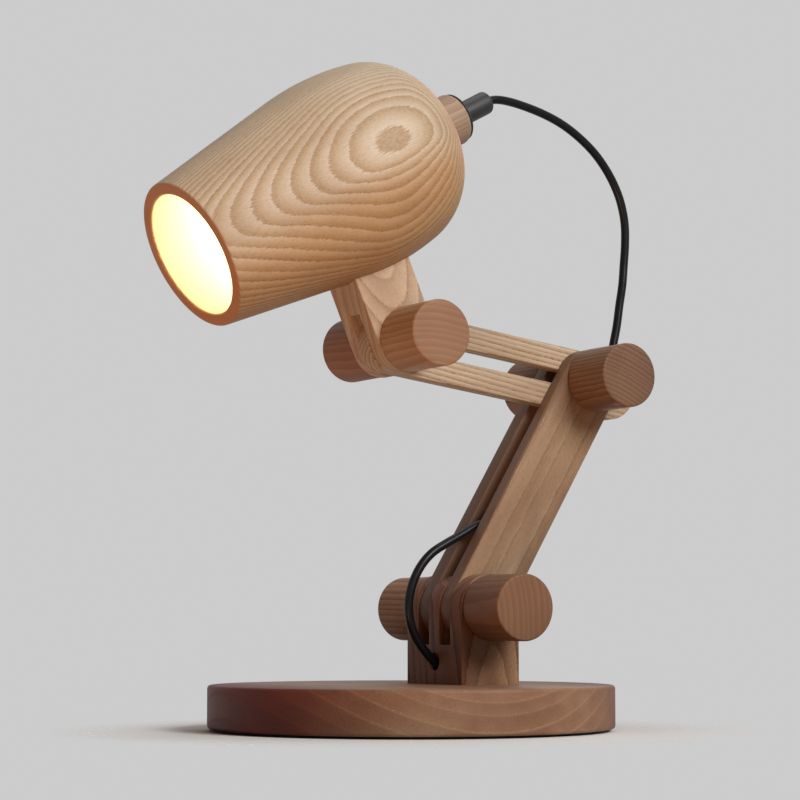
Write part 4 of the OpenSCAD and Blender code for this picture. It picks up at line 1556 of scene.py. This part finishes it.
@dataclass
class Shade:
    """Turned hollow shade: a cone from the mouth, a barrel belly and a round shoulder.

    Attributes:
        finish: its material.
        mouth_u, mouth_r: the mouth's place along the axis and outer radius.
        mouth_wall, rim_edge: wall and rounding at the mouth.
        flare, cone_len: slope in degrees and length of the cone.
        belly_r, belly_end: radius of the belly's curve, and the slope in degrees where it ends.
        shoulder_r, shoulder_end: the same for the shoulder.
        seat_r: radius of the neck's seat.
        wall, floor_r: wall behind the mouth, and radius of the flat floor inside.
        nipple_r: radius of the hole through the top.
    """

    finish: bpy.types.Material
    mouth_u: float = -73.3
    mouth_r: float = 33.4
    mouth_wall: float = 5.5
    rim_edge: float = 1.2
    flare: float = 8.9
    cone_len: float = 68.5
    belly_r: float = 131.6
    belly_end: float = 9.6
    shoulder_r: float = 30.9
    shoulder_end: float = 78.5
    seat_r: float = 14.0
    wall: float = 8.0
    floor_r: float = 12.0
    nipple_r: float = 5.05

    def middles(self) -> tuple[tuple[float, float], tuple[float, float]]:
        """Middles of the belly's and the shoulder's arcs.

        Returns:
            Both middles as radius and height.
        """
        flare, end = math.radians(self.flare), math.radians(self.belly_end)
        belly = (
            self.mouth_r + self.cone_len * math.sin(flare) - self.belly_r * math.cos(flare),
            self.mouth_u + self.cone_len * math.cos(flare) + self.belly_r * math.sin(flare),
        )
        gap = self.belly_r - self.shoulder_r
        return belly, (belly[0] + gap * math.cos(end), belly[1] + gap * math.sin(end))

    def seat(self, wall: float, radius: float) -> float:
        """Height at which the shoulder's end line, inset by a wall, reaches a radius.

        Args:
            wall: the wall.
            radius: the radius.

        Returns:
            The height.
        """
        _, shoulder = self.middles()
        end = math.radians(self.shoulder_end)
        low_r = shoulder[0] + (self.shoulder_r - wall) * math.cos(end)
        low_u = shoulder[1] + (self.shoulder_r - wall) * math.sin(end)
        return low_u + (low_r - radius) / math.tan(end)

    def outside(self, grow: float = 0.0) -> Outline:
        """Outline of the outside from the mouth to the neck's seat.

        Args:
            grow: how far it is moved outwards.

        Returns:
            The outline.
        """
        flare = math.radians(self.flare)
        belly, shoulder = self.middles()
        rise = (1 - math.sin(flare)) * math.tan(flare) - math.cos(flare)
        rim = (self.mouth_r + self.rim_edge * rise, self.mouth_u + self.rim_edge)
        return [
            *arc(rim, self.rim_edge + grow, -90, -self.flare, 6),
            *arc(belly, self.belly_r + grow, -self.flare, self.belly_end, 36),
            *arc(shoulder, self.shoulder_r + grow, self.belly_end, self.shoulder_end, 36)[1:],
            (self.seat_r, self.seat(0.0, self.seat_r) + grow),
        ]

    def inside(self) -> Outline:
        """Outline of the hollow from the floor back to the mouth.

        Returns:
            The outline.
        """
        belly, shoulder = self.middles()
        inner_r = self.mouth_r - self.mouth_wall
        hollow = [
            *arc((inner_r + self.rim_edge, self.mouth_u + self.rim_edge), self.rim_edge, 270, 180, 6),
            *arc(belly, self.belly_r - self.wall, -self.flare, self.belly_end, 24),
            *arc(shoulder, self.shoulder_r - self.wall, self.belly_end, self.shoulder_end, 24)[1:],
            (self.floor_r, self.seat(self.wall, self.floor_r)),
        ]
        return hollow[::-1]

    def shape_body(self, name: str, grow: float) -> bpy.types.Object:
        """Turn the solid form of the outside, for coping the yoke.

        Args:
            name: the piece's name.
            grow: how far it is moved outwards.

        Returns:
            The solid at its place.
        """
        solid = turn_piece(name, self.outside(grow), sides=256)
        return settle(solid, SHADE_FOOT, shade_turn())

    def build(self) -> None:
        """Turn the shade."""
        outside = self.outside()
        seat_u, floor_u = self.seat(0.0, self.seat_r), self.seat(self.wall, self.floor_r)
        hole = [(self.nipple_r, seat_u), (self.nipple_r, floor_u)]
        outline = [*outside, *hole, *self.inside(), outside[0]]
        shade = turn_piece("shade_turned", outline, sides=256, through=True)
        settle(shade, SHADE_FOOT, shade_turn())
        fit_piece(shade, "shade", Body.HEAD, self.finish)


@dataclass
class Yoke:
    """Fork that carries the shade, coped to it at the top.

    Attributes:
        finish: material of the fork and its dowels.
        shade: the shade that it is coped to.
        width, depth: of the fork.
        gap, floor: width of its slot, and how far past the bolt it goes.
        span: height of the uncoped top's middle above the bolt.
        joint: width of the glue line between yoke and shade.
    """

    finish: bpy.types.Material
    shade: Shade
    width: float = 30.0
    depth: float = 24.6
    gap: float = 8.8
    span: float = 53.4
    floor: float = 17.8
    joint: float = 0.1

    def build(self) -> None:
        """Saw the fork, ease it and cope it to the shade with the joint's width between them."""
        yoke = saw_plate("yoke_sawn", self.span, self.width, self.depth)
        saw_slot(yoke, 0.0, self.gap, -40.0, self.floor)
        bore_across(yoke, 0.0)
        join_stray_points(yoke)
        ease_edges(yoke)
        settle(yoke, HEAD_PIVOT, Euler((0, -YOKE_LEAN, 0)))
        cut(yoke, self.shade.shape_body("cope_cutter", self.joint))
        smooth(yoke)
        fit_piece(yoke, "yoke", Body.HEAD, self.finish)
        dress_node("yoke_dowels", self.finish)


@dataclass
class Neck:
    """Turned neck, washer and cord grip on top of the shade.

    Attributes:
        finish, rubber, grip_finish: materials of the neck, the washer and the grip.
        seat_u: the neck's seat on the shade's axis.
        length, radius, end_r: the neck's length, and its radius at the shade and at its crown.
        round_len, face_r: length of the crown's rounding, and radius of the face that it leaves.
        nipple_r, nipple_len: radius and depth of the socket for the threaded nipple.
        wire_r: radius of the wires' way.
        stem_r, stem_len, fit: the grip's stem's radius and length, and its play in its socket.
        socket_floor: height of the floor of the stem's socket.
        washer_r, washer_t, washer_edge: the washer's radius, thickness and rounding.
        grip_r, grip_len, grip_round, grip_bore: the grip's radius, length, rounding and bore.
    """

    finish: bpy.types.Material
    rubber: bpy.types.Material
    grip_finish: bpy.types.Material
    seat_u: float = 62.91
    length: float = 17.0
    radius: float = 12.0
    end_r: float = 12.1
    round_len: float = 2.4
    face_r: float = 10.2
    nipple_r: float = 5.05
    nipple_len: float = 7.0
    wire_r: float = 3.5
    stem_r: float = 4.0
    stem_len: float = 8.0
    socket_floor: float = 8.0
    washer_r: float = 11.3
    washer_t: float = 1.0
    washer_edge: float = 0.25
    grip_r: float = 5.4
    grip_len: float = 19.0
    grip_round: float = 2.0
    grip_bore: float = 2.05
    fit: float = 0.05

    def raise_to(self, piece: bpy.types.Object, u: float) -> bpy.types.Object:
        """Put a piece on the shade's axis.

        Args:
            piece: the piece, modelled up Z from the origin.
            u: where its origin goes, from the neck's seat up.

        Returns:
            The piece at its place.
        """
        axis = Vector((math.cos(SHADE_TILT), 0, math.sin(SHADE_TILT)))
        return settle(piece, SHADE_FOOT + axis * (self.seat_u + u), shade_turn())

    def shape_neck(self) -> bpy.types.Object:
        """Turn the neck with its rounded top and the sockets at its ends.

        Returns:
            The neck at its place.
        """
        start, rounding = self.length - self.round_len, self.end_r - self.face_r
        angles = [math.radians(90 * i / 12) for i in range(13)]
        crown = [(self.face_r + rounding * math.cos(a), start + self.round_len * math.sin(a))
                 for a in angles]
        socket_r = self.stem_r + self.fit
        outline = [
            (self.wire_r, self.nipple_len), (self.nipple_r, self.nipple_len), (self.nipple_r, 0.0),
            (self.radius - 0.3, 0.0), (self.radius, 0.3), *crown, (socket_r, self.length),
            (socket_r, self.socket_floor), (self.wire_r, self.socket_floor),
            (self.wire_r, self.nipple_len),
        ]
        return self.raise_to(turn_piece("neck_turned", outline, sides=128, through=True), 0.0)

    def shape_washer(self) -> bpy.types.Object:
        """Punch the washer with its slightly rounded rim.

        Returns:
            The washer at its place.
        """
        hole_r, edge, top = self.stem_r + self.fit, self.washer_edge, self.washer_t
        outline = [(hole_r, 0.0), (self.washer_r - edge, 0.0), (self.washer_r, edge),
                   (self.washer_r, top - edge), (self.washer_r - edge, top), (hole_r, top),
                   (hole_r, 0.0)]
        washer = turn_piece("neck_washer_punched", outline, sides=96, through=True)
        return self.raise_to(washer, self.length)

    def shape_grip(self) -> bpy.types.Object:
        """Mould the grip with its stem, rounded end and bore.

        Returns:
            The grip at its place.
        """
        bottom, top = -self.washer_t - self.stem_len, self.grip_len
        end = (self.grip_r - self.grip_round, top - self.grip_round)
        outline = [
            (self.grip_bore, bottom), (self.stem_r, bottom), (self.stem_r, 0.0),
            (self.grip_r - 0.3, 0.0), (self.grip_r, 0.3), *arc(end, self.grip_round, 0, 90, 8),
            (self.grip_bore + 0.3, top), (self.grip_bore, top - 0.3), (self.grip_bore, bottom),
        ]
        grip = turn_piece("cord_grip_moulded", outline, sides=96, through=True)
        return self.raise_to(grip, self.length + self.washer_t)

    def build(self) -> None:
        """Build the three pieces."""
        fit_piece(self.shape_neck(), "neck", Body.HEAD, self.finish)
        fit_piece(self.shape_washer(), "neck_washer", Body.HEAD, self.rubber)
        fit_piece(self.shape_grip(), "cord_grip", Body.HEAD, self.grip_finish)


@dataclass
class Bulb:
    """Round opal bulb in its holder, with the nipple and nut that hold the holder.

    Attributes:
        glass, cap_metal, steel, brass, plastic, ceramic: materials of the bulb, its cap, nipple and
            nut, screw shell and contact, holder, and contact block.
        radius, middle_u: the glass's radius, and its middle's place along the shade's axis.
        cap_u, neck_r: where the glass enters its cap, and its radius there.
        leave: angle in degrees at which the neck leaves the sphere.
    """

    glass: bpy.types.Material
    cap_metal: bpy.types.Material
    steel: bpy.types.Material
    brass: bpy.types.Material
    plastic: bpy.types.Material
    ceramic: bpy.types.Material
    radius: float = 22.5
    middle_u: float = -19.54
    cap_u: float = 7.96
    neck_r: float = 12.5
    leave: float = 50.0

    def shape_glass(self) -> bpy.types.Object:
        """Blow the glass: a sphere that runs into a neck, closed at the cap.

        Returns:
            The glass at its place.
        """
        outline = [*arc((0.0, self.middle_u), self.radius, -89, self.leave, 48),
                   (self.neck_r, self.cap_u), (0.5, self.cap_u)]
        glass = turn_piece("bulb_glass_blown", outline, sides=128)
        return settle(glass, SHADE_FOOT, shade_turn())

    def build(self) -> None:
        """Build the glass and dress the holder."""
        fit_piece(self.shape_glass(), "bulb_glass", Body.HEAD, self.glass)
        fittings = {
            "bulb_cap": self.cap_metal,
            "threaded_nipple": self.steel,
            "nipple_nut": self.steel,
            "holder_screw_shell": self.brass,
            "centre_contact": self.brass,
            "holder_cap": self.plastic,
            "holder_shell": self.plastic,
            "holder_contact_block": self.ceramic,
        }
        for node, finish in fittings.items():
            dress_node(node, finish)


# ---- The whole lamp ----


def main() -> None:
    """Build the studio and every piece of the lamp."""
    logging.basicConfig(level=logging.INFO, format="%(name)s: %(message)s")
    Studio().set_up()
    Cord(CordSheath().build()).build()

    knob_woods = {wood.name.removeprefix("turned_ash_knob_"): wood.build() for wood in KNOB_ASHES}
    # Zinc-plated steel: cool grey with duller patches
    steel = Metal("zinc_plated_steel", "#c3c5c8", "#9fa2a6").build()
    # Bare brass, with darker stains
    brass = Metal("bare_brass", "#caa55b", "#a98543", 0.28).build()
    # Drawn aluminium of the bulb's cap: pale and slightly dull
    aluminium = Metal("drawn_aluminium", "#cfd0d2", "#b4b6b9", 0.35).build()
    # Phenolic resin of the holder: dark with a low sheen
    phenolic = Moulded("black_phenolic", "#1d1c1e", "#262527", grit=0.4, roughness=0.42).build()
    # Moulded nylon of the grip: near black, with a soft gloss along its edges
    nylon = Moulded("black_nylon", "#121214", "#1a1a1c", grit=0.35, roughness=0.48).build()
    # Rubber of the washer and the grommet: black and matt
    rubber = Moulded("black_rubber", "#161617", "#1f1f20", grit=0.5, roughness=0.6, relief=0.25).build()
    # Pressed felt under the base, fuzzy and matt
    felt = Moulded("pressed_felt", "#232021", "#322d2c", grit=0.7, roughness=0.92, relief=0.8).build()
    # Steatite of the contact block: off-white under a clear glaze
    ceramic = Moulded("glazed_steatite", "#e6e1d6", "#dcd5c7", grit=1.2, roughness=0.25,
                      coat=0.4).build()

    for name, pivot, half, far_body, near_body in (
        ("base", BASE_PIVOT, POST_HALF, Body.BASE, Body.BASE_KNOB),
        ("elbow", ELBOW_PIVOT, ELBOW_HALF, Body.ELBOW, Body.ELBOW_KNOB),
        ("head", HEAD_PIVOT, YOKE_HALF, Body.HEAD, Body.HEAD_KNOB),
    ):
        near_wood, far_wood = knob_woods[name + "_near"], knob_woods[name + "_far"]
        Clamp(name, pivot, half, far_body, near_body, near_wood, far_wood, steel, brass).build()
    Base(BASE_ASH.build(), POST_ASH.build(), felt, steel, rubber).build()
    LowerArm(SLAT_NEAR_ASH.build(), SLAT_FAR_ASH.build()).build()
    UpperArm(ARM_ASH.build()).build()
    shade = Shade(SHADE_ASH.build())
    shade.build()
    Yoke(YOKE_ASH.build(), shade).build()
    Neck(NECK_ASH.build(), rubber, nylon).build()
    Bulb(LitOpalGlass().build(), aluminium, steel, brass, phenolic, ceramic).build()


if __name__ == "__main__":
    main()
